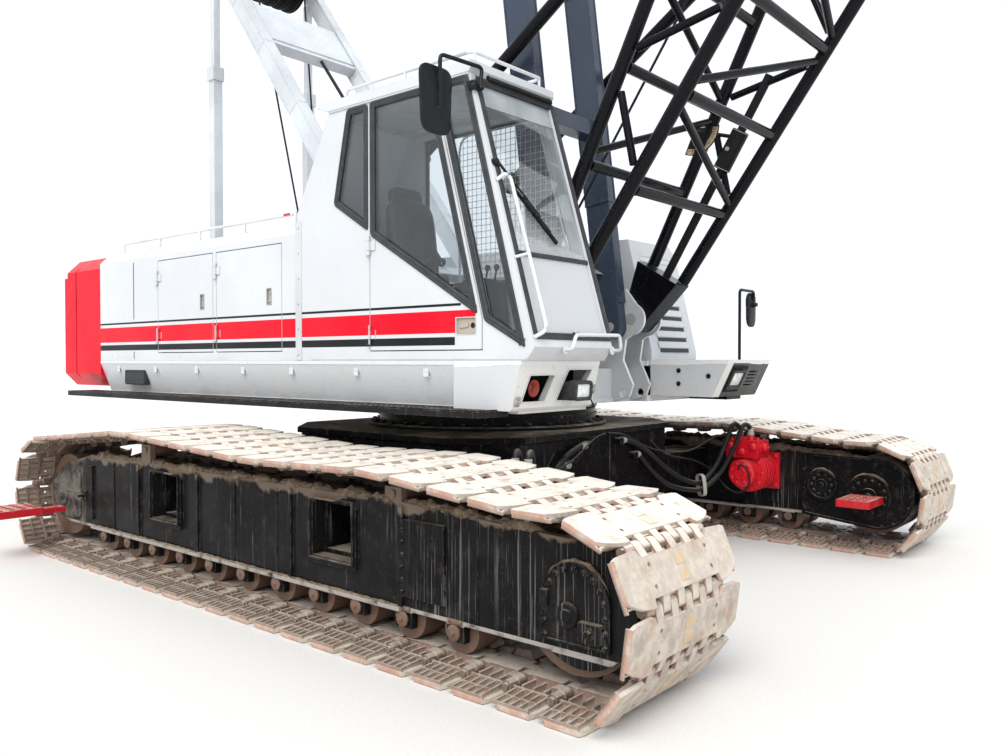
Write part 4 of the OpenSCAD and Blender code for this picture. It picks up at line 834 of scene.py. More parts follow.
def pierced(outline, holes, low, high):
    """A plate between low and high with holes right through: caps cut into triangles round the
    holes, walls along every rim."""
    rims = [np.asarray(rim, float) for rim in (outline, *holes)]
    flat = np.vstack(rims)
    tris = np.array(tessellate_polygon([[Vector((x, y, 0)) for x, y in rim] for rim in rims]))
    a, b, c = flat[tris[:, 0]], flat[tris[:, 1]], flat[tris[:, 2]]
    turned = (b[:, 0] - a[:, 0]) * (c[:, 1] - a[:, 1]) - (b[:, 1] - a[:, 1]) * (c[:, 0] - a[:, 0]) < 0
    tris[turned] = tris[turned][:, ::-1]
    n = len(flat)
    points = np.vstack([np.column_stack([flat, np.full(n, z)]) for z in (low, high)])
    walls, start = [], 0
    for k, rim in enumerate(rims):
        i = start + np.arange(len(rim))
        j = start + (np.arange(len(rim)) + 1) % len(rim)
        wall = np.stack([i, j, n + j, n + i], 1)
        walls.append(wall if k == 0 else wall[:, ::-1])
        start += len(rim)
    return points, [tris[:, ::-1], tris + n, np.vstack(walls)]


lug_count = 9
lug_pitch = 0.060
lug_t = 0.053
lug_r = 0.030
comb = lug_count * lug_pitch / 2
half_l = pitch / 2
half_w = shoe_w / 2
plate_low = 0.028


def shoe_outline():
    """The sole's outline along (u) and across (v): the comb's straight edges in the middle,
    a rounded corner cut at one end of each wing and a scoop beside the lugs at the other."""
    edge = half_l - 0.043
    wing = half_l - 0.007
    right = [(wing - 0.016, -half_w), (wing - 0.006, -half_w + 0.030), (wing, -comb - 0.045),
             (wing - 0.004, -comb - 0.026), (edge + 0.012, -comb - 0.012), (edge, -comb)]
    left = [(-edge, -comb), (-wing + 0.004, -comb - 0.008), (-wing + 0.001, -comb - 0.030),
            (-wing + 0.010, -half_w + 0.095), (-wing + 0.030, -half_w + 0.040),
            (-wing + 0.052, -half_w)]
    lower = np.array(left + right)
    return np.vstack([lower, lower[::-1] * (1, -1)])


def lug(side, v):
    """A hinge lug: a barrel round the pin with an arm back to the sole, lug_t wide at v."""
    back = half_l - 0.047
    barrel = arc(half_l, 0, lug_r, -90, 78, 9)
    profile = np.vstack([barrel, [(back, sole_d - 0.004), (back, -lug_r + 0.002)]])
    if side < 0:
        profile = profile[::-1] * (-1, 1)
    return prism(profile, v - lug_t / 2, v + lug_t / 2, 0.0, side_on)


def shoe():
    """One shoe in its own frame: u along the chain, v across it, w out through the sole."""
    parts = []
    holes = [arc(u, v, 0.010, 0, -315, 8) for u in (-0.042, 0.048) for v in (-0.235, 0.235)]
    parts.append(pierced(shoe_outline(), holes, plate_low, sole_d - 0.003))
    for k in range(lug_count):
        parts.append(lug(1 if k % 2 == 0 else -1, (k - 4) * lug_pitch))
    rail = half_l - 0.034
    for side in (-1, 1):
        v0, v1 = sorted((side * 0.054, side * 0.200))
        parts.append(brick((-rail, v0, -shoe_in + 0.001), (rail, v1, plate_low)))
        v0, v1 = sorted((side * 0.292, side * 0.306))
        parts.append(brick((-half_l + 0.012, v0, -0.004), (half_l - 0.012, v1, plate_low)))
        for u in (-0.086, -0.043, 0.0, 0.043, 0.086):
            v0, v1 = sorted((side * 0.306, side * (half_w - 0.004)))
            low = (0.000, 0.012) if side > 0 else (0.012, 0.000)
            rib = [(v0, plate_low), (v0, low[0]), (v1, low[1]), (v1, plate_low)]
            parts.append(prism(rib, u - 0.005, u + 0.005, 0.0, end_on))
        for u in (-0.060, 0.0, 0.060):
            v0, v1 = sorted((side * 0.200, side * 0.292))
            parts.append(brick((u - 0.006, v0, -0.012), (u + 0.006, v1, plate_low)))
        for low, high, r in ((0.262, 0.322, 0.027), (0.322, 0.336, 0.017)):
            v0, v1 = sorted((side * low, side * high))
            parts.append(prism(arc(half_l, 0, r, 0, 324, 10), v0, v1, 0.0, side_on))
        pad = eased(oblong(-0.024, -0.036, 0.024, 0.036), 0.006, 3)
        parts.append(prism(pad + (side * 0.034, 0.0), sole_d - 0.005, sole_d - 0.0004, 0.001))
        v0, v1 = sorted((side * (half_w - 0.012), side * (half_w - 0.002)))
        parts.append(brick((-half_l + 0.024, v0, 0.012), (half_l - 0.026, v1, plate_low)))
        v0, v1 = sorted((side * 0.376, side * 0.384))
        parts.append(brick((-0.090, v0, 0.004), (0.090, v1, plate_low)))
    guide = [(-0.038, -shoe_in - guide_d), (0.038, -shoe_in - guide_d), (0.062, -shoe_in + 0.004),
             (-0.062, -shoe_in + 0.004)]
    parts.append(prism(guide, -guide_w / 2, guide_w / 2, 0.0, side_on))
    return joined(parts)


track_finish, tree, shader = new_finish("worn_track")
sole = add(tree, "ShaderNodeAttribute", attribute_name="sole").outputs["Fac"]
each = add(tree, "ShaderNodeAttribute", attribute_name="each_shoe").outputs["Fac"]
cast = layer(tree, remap(tree, noise(tree, 7, 6, 0.7), 0.3, 0.7), (0.13, 0.085, 0.06),
             (0.24, 0.165, 0.12))
cast = layer(tree, remap(tree, noise(tree, 26, 5, 0.7, shift=4.0), 0.52, 0.66), cast,
             (0.30, 0.21, 0.155))
scuffed = layer(tree, remap(tree, noise(tree, 12, 6, 0.7, shift=2.0), 0.35, 0.65), (0.36, 0.30, 0.25),
                (0.60, 0.52, 0.44))
scuffed = layer(tree, times(tree, each, 0.45), scuffed, (0.70, 0.62, 0.52))
rusty = remap(tree, noise(tree, 5, 6, 0.75, shift=9.0), 0.52, 0.68)
scuffed = layer(tree, times(tree, rusty, 0.55), scuffed, (0.42, 0.22, 0.13))
flank = remap(tree, calc(tree, "ABSOLUTE", height_of(tree, "Y", "Normal")), 0.6, 0.9)
pink = times(tree, flank, remap(tree, noise(tree, 14, 5, 0.7, shift=1.5), 0.35, 0.60, 0.2, 0.8))
scuffed = layer(tree, pink, scuffed, (0.46, 0.22, 0.15))
tone = layer(tree, sole, cast, scuffed)
marked = add(tree, "ShaderNodeAttribute", attribute_name="mark").outputs["Fac"]
tone = layer(tree, times(tree, marked, 0.65), tone, (0.62, 0.44, 0.20))
edge, rounded = worn_edge(tree, 0.006)
rubbed = times(tree, edge, remap(tree, noise(tree, 20, 4, 0.6, shift=6.0), 0.36, 0.60))
tone = layer(tree, times(tree, rubbed, 0.75), tone, (0.56, 0.50, 0.44))
upward = remap(tree, height_of(tree, "Z", "Normal"), 0.35, 0.90)
dusty = times(tree, upward, remap(tree, noise(tree, 10, 6, 0.7, shift=3.0), 0.22, 0.56))
high = remap(tree, height_of(tree), 0.55, 0.80, 0.45, 1.0)
dusty = times(tree, dusty, high)
tone = layer(tree, dusty, tone, (0.80, 0.74, 0.65))
pits = calc(tree, "ADD", noise(tree, 55, 6, 0.75), times(tree, noise(tree, 9, 3), 1.2))
feed(tree, shader, {
    "Base Color": tone, "Metallic": times(tree, rubbed, 0.5),
    "Roughness": remap(tree, noise(tree, 9, 4), 0.3, 0.7, 0.55, 0.80),
    "Normal": bumped(tree, pits, 0.5, 0.003, Normal=rounded)
})


def chain(name, side, node_name, seed):
    """A whole track: the shoe set at every link of the pin line, with a value a shoe."""
    points, faces = shoe()
    nxt = np.roll(pins, -1, 0)
    run = (nxt - pins) / np.linalg.norm(nxt - pins, axis=1)[:, None]
    out = np.stack([run[:, 1], -run[:, 0]], 1)
    mid = (pins + nxt) / 2
    xz = (mid[:, None, :] + points[None, :, 0, None] * run[:, None, :]
          + points[None, :, 2, None] * out[:, None, :])
    y = np.broadcast_to(side * track_gauge / 2 + points[:, 1], (shoe_count, len(points)))
    placed = np.stack([xz[..., 0], y, xz[..., 1]], -1).reshape(-1, 3)
    starts = np.arange(shoe_count)[:, None, None] * len(points)
    sets = [(np.asarray(f)[None] + starts).reshape(-1, np.shape(f)[1])[:, ::-1] for f in faces]
    made = piece(name, (placed, sets), track_finish, "undercarriage", 35)
    values = {
        "sole": np.tile((points[:, 2] > sole_d - 0.030).astype(np.float32), shoe_count),
        "mark": np.tile((points[:, 2] > sole_d - 0.001).astype(np.float32), shoe_count),
        "each_shoe": np.repeat(np.random.default_rng(seed).random(shoe_count), len(points))
    }
    for key, value in values.items():
        field = made.data.attributes.new(key, "FLOAT", "POINT")
        field.data.foreach_set("value", value.astype(np.float32))
    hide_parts(node_name)


chain("track_shoes_right", -1, "track_right", 3)
chain("track_shoes_left", 1, "track_left", 5)


# Turntable. Four tall plates welded on a deck over the slew ring, grey with a painted highlight
# in white on their cut edges; the boom and mast turn on steel pins through their noses.
def plate_colours(tree):
    """Grey on the faces of the tall plates and a painted highlight in white on their cut edges, both a
    little dusty.
    """
    sideways = calc(tree, "ABSOLUTE", height_of(tree, "Y", "Normal"))
    return layer(tree, remap(tree, sideways, 0.3, 0.6), (0.74, 0.75, 0.76), (0.47, 0.48, 0.49))


plate_paint_and_highlight = paint("plate_paint_and_highlight", None, 0.34, dust=0.3, streaks=0.2, chips=0.5, rust=0.25,
                    pattern=plate_colours)
grey_paint = paint("grey_paint", (0.56, 0.57, 0.58), 0.34, dust=0.3, streaks=0.15, chips=0.5, rust=0.2)
dress(plate_paint_and_highlight, "frame_plates")
dress(grey_paint, "turntable_frame")
dress(bare_steel, "foot_pins")
boom_foot = np.array((1.050, 0, 1.790))
mast_foot = np.array((0.930, 0, 1.730))


def plate_trim():
    """Left plates' collars round the pins, keeper bolts and the weld strip up the nose."""
    parts = []
    for y, way in ((0.712, 1), (0.687, -1)):
        collar = turned_ring([(0.050, 0), (0.098, 0), (0.102, 0.004), (0.102, 0.012), (0.098, 0.016),
                              (0.050, 0.016)], 40)
        parts.append(facing(collar, (0, way, 0), (1.050, y, 1.790)))
    keeper = eased([(1.085, 1.735), (1.145, 1.770), (1.120, 1.845), (1.060, 1.85)], 0.01)
    parts.append(prism(keeper, 0.722, 0.732, 0.002, side_on))
    parts.append(bolts([(1.112, 0.732, 1.772), (1.090, 0.732, 1.832)], leftward, 0.010, 0.010))
    head = lathe([(0.001, 0), (0.030, 0), (0.036, 0.004), (0.036, 0.010), (0.001, 0.010)], 24)
    parts.append(facing(head, leftward, (1.050, 0.7235, 1.790)))
    for x, row in ((-0.42, (1.50, 1.38, 1.42)), (0.40, (1.30, 1.38, 1.45))):
        parts.append(bolts([(x, 0.712, z) for z in row], leftward, 0.012, 0.012))
    return joined(parts)


piece("nose_plate_fittings", both(plate_trim()), grey_paint, "upper", 35)

# Side decks, catwalks and counterweight. Pressed grey decks with leaning skirts on
# small brackets; black gratings on tubes beside them; two red cast slabs behind.
def skirt_colours(tree):
    """Pale grey paint, turning brown towards the bottom below the panel's edge."""
    low = remap(tree, height_of(tree), 1.30, 1.18)
    brown = times(tree, low, remap(tree, noise(tree, 4, 5, 0.7, (1, 1, 3)), 0.40, 0.65))
    return layer(tree, times(tree, brown, 0.5), (0.66, 0.68, 0.70), (0.46, 0.40, 0.33))


skirt_paint = paint("skirt_paint", None, 0.32, dust=0.25, streaks=0.25, chips=0.45, rust=0.2,
                    pattern=skirt_colours)
dress(skirt_paint, "side_decks")
bracket_side = [(0, 0), (0.050, 0), (0.050, 0.006), (0.006, 0.006), (0.006, 0.052), (0, 0.052)]
bracket = mirrored(prism(bracket_side, -0.022, 0.022, 0.0, end_on))
bracket_x = (-3.10, -2.45, -1.80, -1.15, -0.55, 0.15, 0.80)
bracket_places = [(x, 1.492, 1.376) for x in bracket_x]
skirt_bolts = bolts([(x, 1.486, 1.412) for x in bracket_x], leftward, 0.008, 0.007)
deck_lip = prism(oblong(-3.42, 1.448, 1.04, 1.4745), 1.4985, 1.5025, 0.0015, side_on)
piece("side_deck_brackets", both(joined([spread(bracket, bracket_places), skirt_bolts, deck_lip])),
      skirt_paint, "upper", 35)

walk_paint = paint("walk_paint", (0.008, 0.008, 0.009), 0.42, dust=0.5, streaks=0.15, chips=0.7,
                   rust=0.5, specular=0.15)
dress(walk_paint, "catwalks")


def grating(x0, x1, y0, y1, z):
    """Expanded metal: two crossing sets of thin bars at a slant over a frame, in whole arrays."""
    step, half_bar = 0.050, 0.0022
    starts = np.arange(x0 - (y1 - y0), x1, step)
    parts = []
    for lean in (1, -1):
        a = starts if lean > 0 else starts + (y1 - y0)
        b = a + lean * (y1 - y0)
        near, far = np.clip(a, x0, x1), np.clip(b, x0, x1)
        y_near = y0 + (near - a) * lean
        y_far = y1 - (b - far) * lean
        keep = np.abs(near - far) > 0.02
        near, far, y_near, y_far = near[keep], far[keep], y_near[keep], y_far[keep]
        side = (half_bar, -half_bar * lean)
        low = np.stack([np.column_stack([near + s * side[0], y_near + s * side[1]]) for s in (-1, 1)]
                       + [np.column_stack([far + s * side[0], y_far + s * side[1]]) for s in (1, -1)],
                       1)
        points = np.concatenate([np.concatenate([low, np.full(low.shape[:2] + (1,), h)], -1)
                                 for h in (z, z + 0.006)], 1)
        starts_at = np.arange(len(near))[:, None, None] * 8
        box_faces = np.array([[0, 3, 2, 1], [4, 5, 6, 7], [0, 1, 5, 4], [1, 2, 6, 5], [2, 3, 7, 6],
                              [3, 0, 4, 7]])
        if lean > 0:
            box_faces = box_faces[:, ::-1]
        parts.append((points.reshape(-1, 3), [(box_faces[None] + starts_at).reshape(-1, 4)]))
    return joined(parts)


mesh_strips = joined([grating(x0, x1, 1.420, 1.650, 1.190)
                      for x0, x1 in ((-3.72, -1.01), (-0.99, 1.37))])
walk_rims = joined([
    trim(oblong(x0, 1.4055, x1, 1.664), [(0, 1.186), (0, 1.199), (0.008, 1.199), (0.008, 1.186)])
    for x0, x1 in ((-3.729, -1.001), (-0.997, 1.379))
])
piece("catwalk_gratings", both(joined([mesh_strips, walk_rims])), walk_paint, "upper",
      30)

weight_paint = paint("weight_paint", (0.70, 0.004, 0.020), 0.26, dust=0.15, streaks=0.10, chips=0.35,
                     rust=0.15, specular=0.08)
dress(weight_paint, "counterweight")
eye_side = eased([(-0.055, 0), (0.055, 0), (0.040, 0.075), (0.0, 0.095), (-0.040, 0.075)], 0.012, 3)
lift_eye = pierced(eye_side, [arc(0, 0.048, 0.020, 0, -330, 12)], -0.010, 0.010)
lift_eye = reversed_faces(lift_eye[0][:, side_on], lift_eye[1])
eye_places = [(-3.68, y, 2.439) for y in (-0.9, 0.9)]
weight_bolts = bolts([(-3.74, y, 2.440) for y in (-0.35, 0.0, 0.35)], skyward, 0.030, 0.030)
piece("counterweight_eyes", joined([spread(lift_eye, eye_places), weight_bolts]), weight_paint, "upper",
      35)


# Houses. Sheet-steel rooms over the winches and the engine, white with a red stripe between a
# thin black one and a wider one, with hinged doors, dirty seams and shutters for the engine's air.
stripe_start = -3.420


def body_colours(tree):
    """White; on both sides a red stripe with a thin black one over it and a wider one under it."""
    at_side = remap(tree, calc(tree, "ABSOLUTE", height_of(tree, "Y")), 1.488, 1.492)
    flank = remap(tree, calc(tree, "ABSOLUTE", height_of(tree, "Y", "Normal")), 0.5, 0.8)
    at_side = times(tree, at_side, flank)
    height, length = height_of(tree), height_of(tree, "X")
    tone = layer(tree, remap(tree, noise(tree, 1.3, 4), 0.35, 0.7), (0.61, 0.63, 0.65),
                 (0.65, 0.67, 0.69))
    red = times(tree, between(tree, height, 1.638, 1.771), between(tree, length, stripe_start, 1.056))
    tongue = times(tree, between(tree, height, 1.730, 1.771), between(tree, length, 1.0, 1.215))
    red = calc(tree, "MAXIMUM", red, tongue)
    thin = times(tree, between(tree, height, 1.797, 1.813), between(tree, length, stripe_start, 1.100))
    low = times(tree, between(tree, height, 1.566, 1.615), between(tree, length, stripe_start, 1.052))
    black = (0.012, 0.012, 0.014)
    for mask, colour in ((red, (0.74, 0.002, 0.018)), (thin, black), (low, black)):
        tone = layer(tree, times(tree, mask, at_side), tone, colour)
    foot = remap(tree, height, 1.54, 1.475)
    grime = times(tree, foot, remap(tree, noise(tree, 3, 5, 0.7, (1, 1, 3), 4.0), 0.45, 0.70))
    return layer(tree, times(tree, grime, 0.30), tone, (0.40, 0.34, 0.27))


body_paint = paint("body_paint", None, 0.22, dust=0.05, streaks=0.04, chips=0.22, rust=0.05,
                   specular=0.1, pattern=body_colours, under=(0.35, 0.30, 0.26))
dress(body_paint, "house_right", "house_left", "house_door_rear", "house_door_front", "engine_door")

# Black rubber, also used for the strips of painted shade under the engine shutters.
black_rubber_and_shade = mottled("black_rubber_and_shade", (30, 4), (0.3, 0.7), (0.018, 0.019, 0.021),
                       (0.035, 0.037, 0.040), 0.62, ((160, 3), 0.2, 0.002))

slots = joined([
    prism(oblong(-2.799, z0, -2.789, z1), 1.4985, 1.5020, 0.001, side_on)
    for z0, z1 in ((1.835, 2.33), (1.49, 1.555))
])
piece("house_slot_rubbers", both(slots), black_rubber_and_shade, "upper", None)
joint_strip = prism(eased(oblong(-0.478, 1.478, -0.409, 2.445), 0.004, 2), 1.4990, 1.5045,
                    0.002, side_on)
strip_bolts = bolts([(-0.443, 1.5045, z) for z in np.linspace(1.52, 2.40, 6)], leftward, 0.007, 0.005)
piece("house_joint_strip", mirrored(joined([joint_strip, strip_bolts])), grey_paint, "upper",
      35)

roof_seams = []
rib = [(0.80, 2.4495), (1.405, 2.4495), (1.403, 2.4600), (0.80, 2.4600)]
for x in (-2.70, -1.98, -1.26):
    roof_seams.append(prism(rib, x, x + 0.030, 0.0, end_on))
eave = oblong(0.7605, 2.4495, 0.7900, 2.4590)
roof_seams.append(prism(eave, -3.42, -0.47, 0.0, end_on))
piece("house_roof_ribs", both(joined(roof_seams)), body_paint, "upper", 35)

beige_steel = paint("beige_steel", (0.42, 0.37, 0.30), 0.48, dust=0.4, chips=0.6, rust=0.5)


def door_latch(x, y=1.486, z=1.940):
    """A paddle in its recess: a raised rim, a paddle bent outward at its lower edge, a keyhole."""
    rim = eased(oblong(x - 0.031, z - 0.061, x + 0.031, z + 0.061), 0.008)
    parts = [trim(rim, [(0, y + 0.010), (0, y + 0.0165), (0.005, y + 0.0165), (0.007, y + 0.010)],
                  side_on)]
    side = [(y + 0.001, z + 0.045), (y + 0.001, z - 0.030), (y + 0.009, z - 0.042),
            (y + 0.011, z - 0.036), (y + 0.005, z - 0.026), (y + 0.005, z + 0.045)]
    parts.append(prism(side, x - 0.022, x + 0.022, 0.0, end_on))
    barrel = lathe(oblong(0.001, 0, 0.009, 0.004), 14)
    parts.append(facing(barrel, leftward, (x, y + 0.004, z + 0.022)))
    return joined(parts)


for place, x in (("rear", -1.690), ("front", -0.795)):
    piece("house_latch_" + place, mirrored(door_latch(x)), bare_steel, "house_door_" + place,
          35)
piece("engine_latch", door_latch(-1.750), bare_steel, "engine_door", 35)

window_box = joined([
    prism(eased(oblong(-3.00, 1.265, -2.64, 1.395), 0.012), 1.440, 1.482, 0.004, side_on),
    trim(eased(oblong(-2.99, 1.275, -2.65, 1.385), 0.010),
         [(0, 1.481), (0, 1.4870), (0.006, 1.4870), (0.010, 1.481)], side_on)
])
piece("tail_marker_box", mirrored(window_box), black_rubber_and_shade, "upper", 35)

shutter = prism([(-0.006, -0.016), (0.014, -0.030), (0.020, -0.024), (-0.002, 0.026), (-0.008, 0.024)],
                0.882, 1.378, 0.0, side_on)
shutter_places = [(1.040 - i * 0.0230, 0, 1.605 + i * 0.088) for i in range(9)]
piece("engine_shutters", spread(shutter, shutter_places), body_paint, "upper", 35)
# Painted shade: a dark strip below each shutter's lip stands for the shade between the slats.
shutter_shade = prism([(0.000, -0.062), (0.019, -0.062), (0.012, -0.032), (-0.006, -0.032)], 0.900, 1.360, 0.0,
            side_on)
piece("engine_shutter_shade", spread(shutter_shade, shutter_places), black_rubber_and_shade, "upper", None)

rail_paint = paint("rail_paint", (0.70, 0.72, 0.73), 0.28, dust=0.1, chips=0.5, rust=0.2)
dress(rail_paint, "handrails")
shoe_plate = prism(eased(oblong(-0.035, -0.028, 0.035, 0.028), 0.008), 0.0, 0.006, 0.002)
shoe_bolts = bolts([(-0.024, 0, 0.006), (0.024, 0, 0.006)], skyward, 0.006, 0.005)
rail_places = [(x, 1.380, 2.4502) for x in -3.200 + 0.640 * np.arange(5)]
piece("handrail_feet", both(spread(joined([shoe_plate, shoe_bolts]), rail_places)), rail_paint, "upper",
      35)
end_flag = prism(oblong(-0.76, 2.530, -0.69, 2.546), 1.360, 1.400, 0.002, side_on)
piece("handrail_ends", both(end_flag), red_paint, "upper", None)

# Engine and winches. The engine is one heavy block behind its door; three rope drums
# with deep flanges turn between the tall plates, wound with greased wire rope.
engine_paint = paint("engine_paint", (0.05, 0.052, 0.055), 0.45, dust=0.5, chips=0.3, rust=0.4)
dress(engine_paint, "engine_block")
drum_paint = paint("drum_paint", (0.03, 0.03, 0.032), 0.42, dust=0.4, chips=0.6, rust=0.5)
dress(drum_paint, "hoist_drums")


def wound_rope(x, z, core, y0, y1, rope, layers):
    """Rope on a drum: a surface of turning whose radius rises and falls as half circles, one to a
    turn, over as many layers as lie there."""
    turns = int((y1 - y0) / rope)
    a = np.linspace(0, turns * np.pi, turns * 4 + 1)
    r = core + (layers - 1) * rope * 0.87 + rope * 0.5 * np.abs(np.sin(a))
    y = np.linspace(y0, y1, len(a))
    profile = np.column_stack([r, y - y0])
    profile = np.vstack([[(core - 0.001, 0)], profile, [(core - 0.001, y1 - y0)]])
    return facing(lathe(profile, 40), leftward, (x, y0, z))


winding = [wound_rope(x, 1.640, core, -0.400, 0.400, 0.022, 2)
           for x, core in ((0.040, 0.190), (-1.060, 0.190), (-2.080, 0.150))]
rope_steel = paint("rope_steel", (0.085, 0.080, 0.072), 0.42, dust=0.2, chips=0.2, rust=0.6)
piece("winch_rope", joined(winding), rope_steel, "upper", 60)


# Front decks. Boxes of bent sheet before the cab and beside the boom, grey inside and
# white at the lip; the horn and the lamps look out of openings in their leaning fronts.
def deck_colours(tree):
    """Beige grey on the leaning fronts, greyer at the sides, white along the top lip."""
    front = remap(tree, height_of(tree, "X", "Normal"), 0.5, 0.8)
    tone = layer(tree, front, (0.58, 0.59, 0.60), (0.74, 0.73, 0.70))
    screen = times(tree, front, remap(tree, height_of(tree, "Y"), 0.848, 0.852))
    tone = layer(tree, screen, tone, (0.010, 0.010, 0.011))
    wave = remap(tree, noise(tree, 2.2, 3), 0.3, 0.7, 1.438, 1.458)
    lip = remap(tree, calc(tree, "SUBTRACT", height_of(tree), wave), -0.002, 0.002)
    return layer(tree, lip, tone, (0.80, 0.81, 0.82))


deck_paint = paint("deck_paint", None, 0.36, dust=0.35, streaks=0.2, chips=0.5, rust=0.2,
                   pattern=deck_colours)
dress(deck_paint, "front_deck_right", "front_deck_left")
dress(black_rubber_and_shade, "work_lamps")
lens_ribs_a_metre = 420.0 / (2 * np.pi)
clear_lens = mottled("lamp_lens", (30, 3), (0.3, 0.7), (0.70, 0.71, 0.70), (0.90, 0.91, 0.90), 0.12,
                     more={"Coat Weight": 0.6})
tree = clear_lens.node_tree
ribs = calc(tree, "SINE", times(tree, height_of(tree, "Y"), 2 * np.pi * lens_ribs_a_metre))
feed(tree, tree.nodes["Principled BSDF"], {"Normal": bumped(tree, ribs, 0.5, 0.002)})
lean_right = np.array((0.2475 / 0.255, 0, -0.064 / 0.255))
lean_left = np.array((0.283, 0, -0.135)) / np.linalg.norm((0.283, 0.135))


def deck_front(y, z, foot=(1.490, 1.2053), brow=(1.554, 1.475)):
    """The point of the leaning front at a width and a height."""
    return np.array((foot[0] + (brow[0] - foot[0]) * (z - foot[1]) / (brow[1] - foot[1]), y, z))


def lamp(middle, way, wide, tall):
    """A work lamp: a rounded black frame round a bulging ribbed lens, looking along way."""
    corners = oblong(-wide, -tall, wide, tall)
    up = np.array((0, 0, 1.0)) - way * way[2]
    basis = np.stack([unit(np.cross(up, way)), unit(up), way])
    rim = trim(eased(corners, 0.030, 6), [(0, -0.045), (0, 0.006), (0.006, 0.012), (0.016, 0.012),
                                          (0.022, 0.002), (0.022, -0.045)])
    n = 24
    outline = eased(np.array(corners) * ((wide - 0.020) / wide, (tall - 0.020) / tall), 0.022, n // 4)
    share = np.linspace(1, 0.02, 6)
    dome = np.stack([np.column_stack([outline * s, np.full(n, 0.008 * (1 - s ** 2))])
                     for s in share]).reshape(-1, 3)
    lens = (dome, [sheet_faces(6, n, close_columns=True)[:, ::-1], np.arange(n)[None] + 5 * n])
    return [(p @ basis + middle, f) for p, f in (rim, lens)]


def leant(part, x, z, slope):
    """A part drawn upright at X 0, brought to x at the height z and leaned by slope a metre."""
    points, faces = part
    return points + (x, 0, 0) + (points[:, 2:] - z) * (slope, 0, 0), faces


lamp_mid = np.array((1.606, -0.980, 1.297))
rim_right, lens_right = lamp(lamp_mid, unit((0.97, 0, -0.10)), 0.088, 0.060)
left_mid = deck_front(1.0025, 1.335, (1.579, 1.2), (1.714, 1.483)) + lean_left * 0.006
rim_left, lens_left = lamp(left_mid, lean_left, 0.108, 0.076)
piece("lamp_frames", joined([rim_right, rim_left]), black_rubber_and_shade, "upper", 40)
piece("lamp_lenses", joined([lens_right, lens_left]), clear_lens, "upper", 60)

lips = []
for hole in (((1.168, 1.391), (1.395, 1.391), (1.432, 1.240), (1.224, 1.240)),
             ((0.795, 1.421), (1.035, 1.421), (1.106, 1.240), (0.899, 1.240))):
    rim = eased(np.array(hole)[::-1], 0.010, 3)
    lip = trim(rim, [(-0.007, 0.0), (-0.007, 0.004), (0.001, 0.004), (0.001, 0.0)], end_on)
    lips.append(leant(lip, 1.490, 1.2053, 0.064 / 0.2697))
piece("deck_opening_rims", mirrored(joined(lips)), deck_paint, "upper", 40)
dark_liner = paint("dark_liner", (0.008, 0.008, 0.008), 0.6, dust=0.3, chips=0.2, specular=0.15)
inner_box = joined([brick((1.380, -1.440, 1.236), (1.386, -0.770, 1.425)),
                    brick((1.380, -1.448, 1.236), (1.480, -1.442, 1.425))])
piece("deck_liners", inner_box, dark_liner, "upper", None)
horn_red = paint("horn_red", (0.30, 0.028, 0.020), 0.40, dust=0.4, chips=0.4, rust=0.5)
bell = lathe([(0.001, 0), (0.016, 0), (0.016, 0.020), (0.012, 0.024), (0.013, 0.040), (0.022, 0.062),
              (0.046, 0.080), (0.050, 0.082), (0.051, 0.079), (0.040, 0.070), (0.015, 0.052),
              (0.001, 0.046)], 28)
disc = lathe([(0.001, 0), (0.044, 0), (0.048, 0.003), (0.048, 0.010), (0.038, 0.018), (0.014, 0.020),
              (0.001, 0.020)], 28)
piece("horn", joined([facing(bell, (1, 0, -0.12), (1.405, -1.300, 1.325)),
                      facing(disc, forward, (1.390, -1.300, 1.325))]), horn_red, "upper",
      35)
wires = [
    [(1.39, -1.36, 1.25), (1.44, -1.345, 1.28), (1.45, -1.33, 1.35), (1.40, -1.31, 1.37)],
    [(1.39, -1.20, 1.24), (1.45, -1.23, 1.26), (1.46, -1.25, 1.30), (1.42, -1.28, 1.32),
     (1.40, -1.29, 1.33)],
    [(1.39, -1.40, 1.39), (1.45, -1.38, 1.36), (1.46, -1.35, 1.29), (1.39, -1.32, 1.245)],
    [(1.39, -1.25, 1.41), (1.44, -1.24, 1.37), (1.45, -1.26, 1.33), (1.41, -1.285, 1.31)]
]
piece("horn_wires", joined([rod(flowing(w), 0.005, 7) for w in wires]), hose_rubber, "upper",
      50)
lead = flowing([(1.585, -0.905, 1.292), (1.575, -0.85, 1.235), (1.54, -0.78, 1.195),
                (1.40, -0.70, 1.175), (1.20, -0.702, 1.18), (1.06, -0.712, 1.19),
                (1.00, -0.714, 1.222)])
piece("lamp_lead", rod(lead, 0.005, 7), hose_rubber, "upper", 50)

grip = eased([(1.640, -1.215, 1.536), (1.700, -1.222, 1.538), (1.700, -1.185, 1.622),
              (1.700, -0.730, 1.628), (1.700, -0.712, 1.538), (1.640, -0.725, 1.536)], 0.024, 6,
             closed=False)
feet = lathe([(0.001, 0), (0.026, 0), (0.026, 0.005), (0.014, 0.008), (0.001, 0.008)], 16)
handle = joined([rod(grip, 0.011, 12)] + [facing(feet, forward, (1.645, y, 1.536))
                                          for y in (-1.215, -0.730)])
piece("deck_grab_loop", handle, rail_paint, "upper", 40)

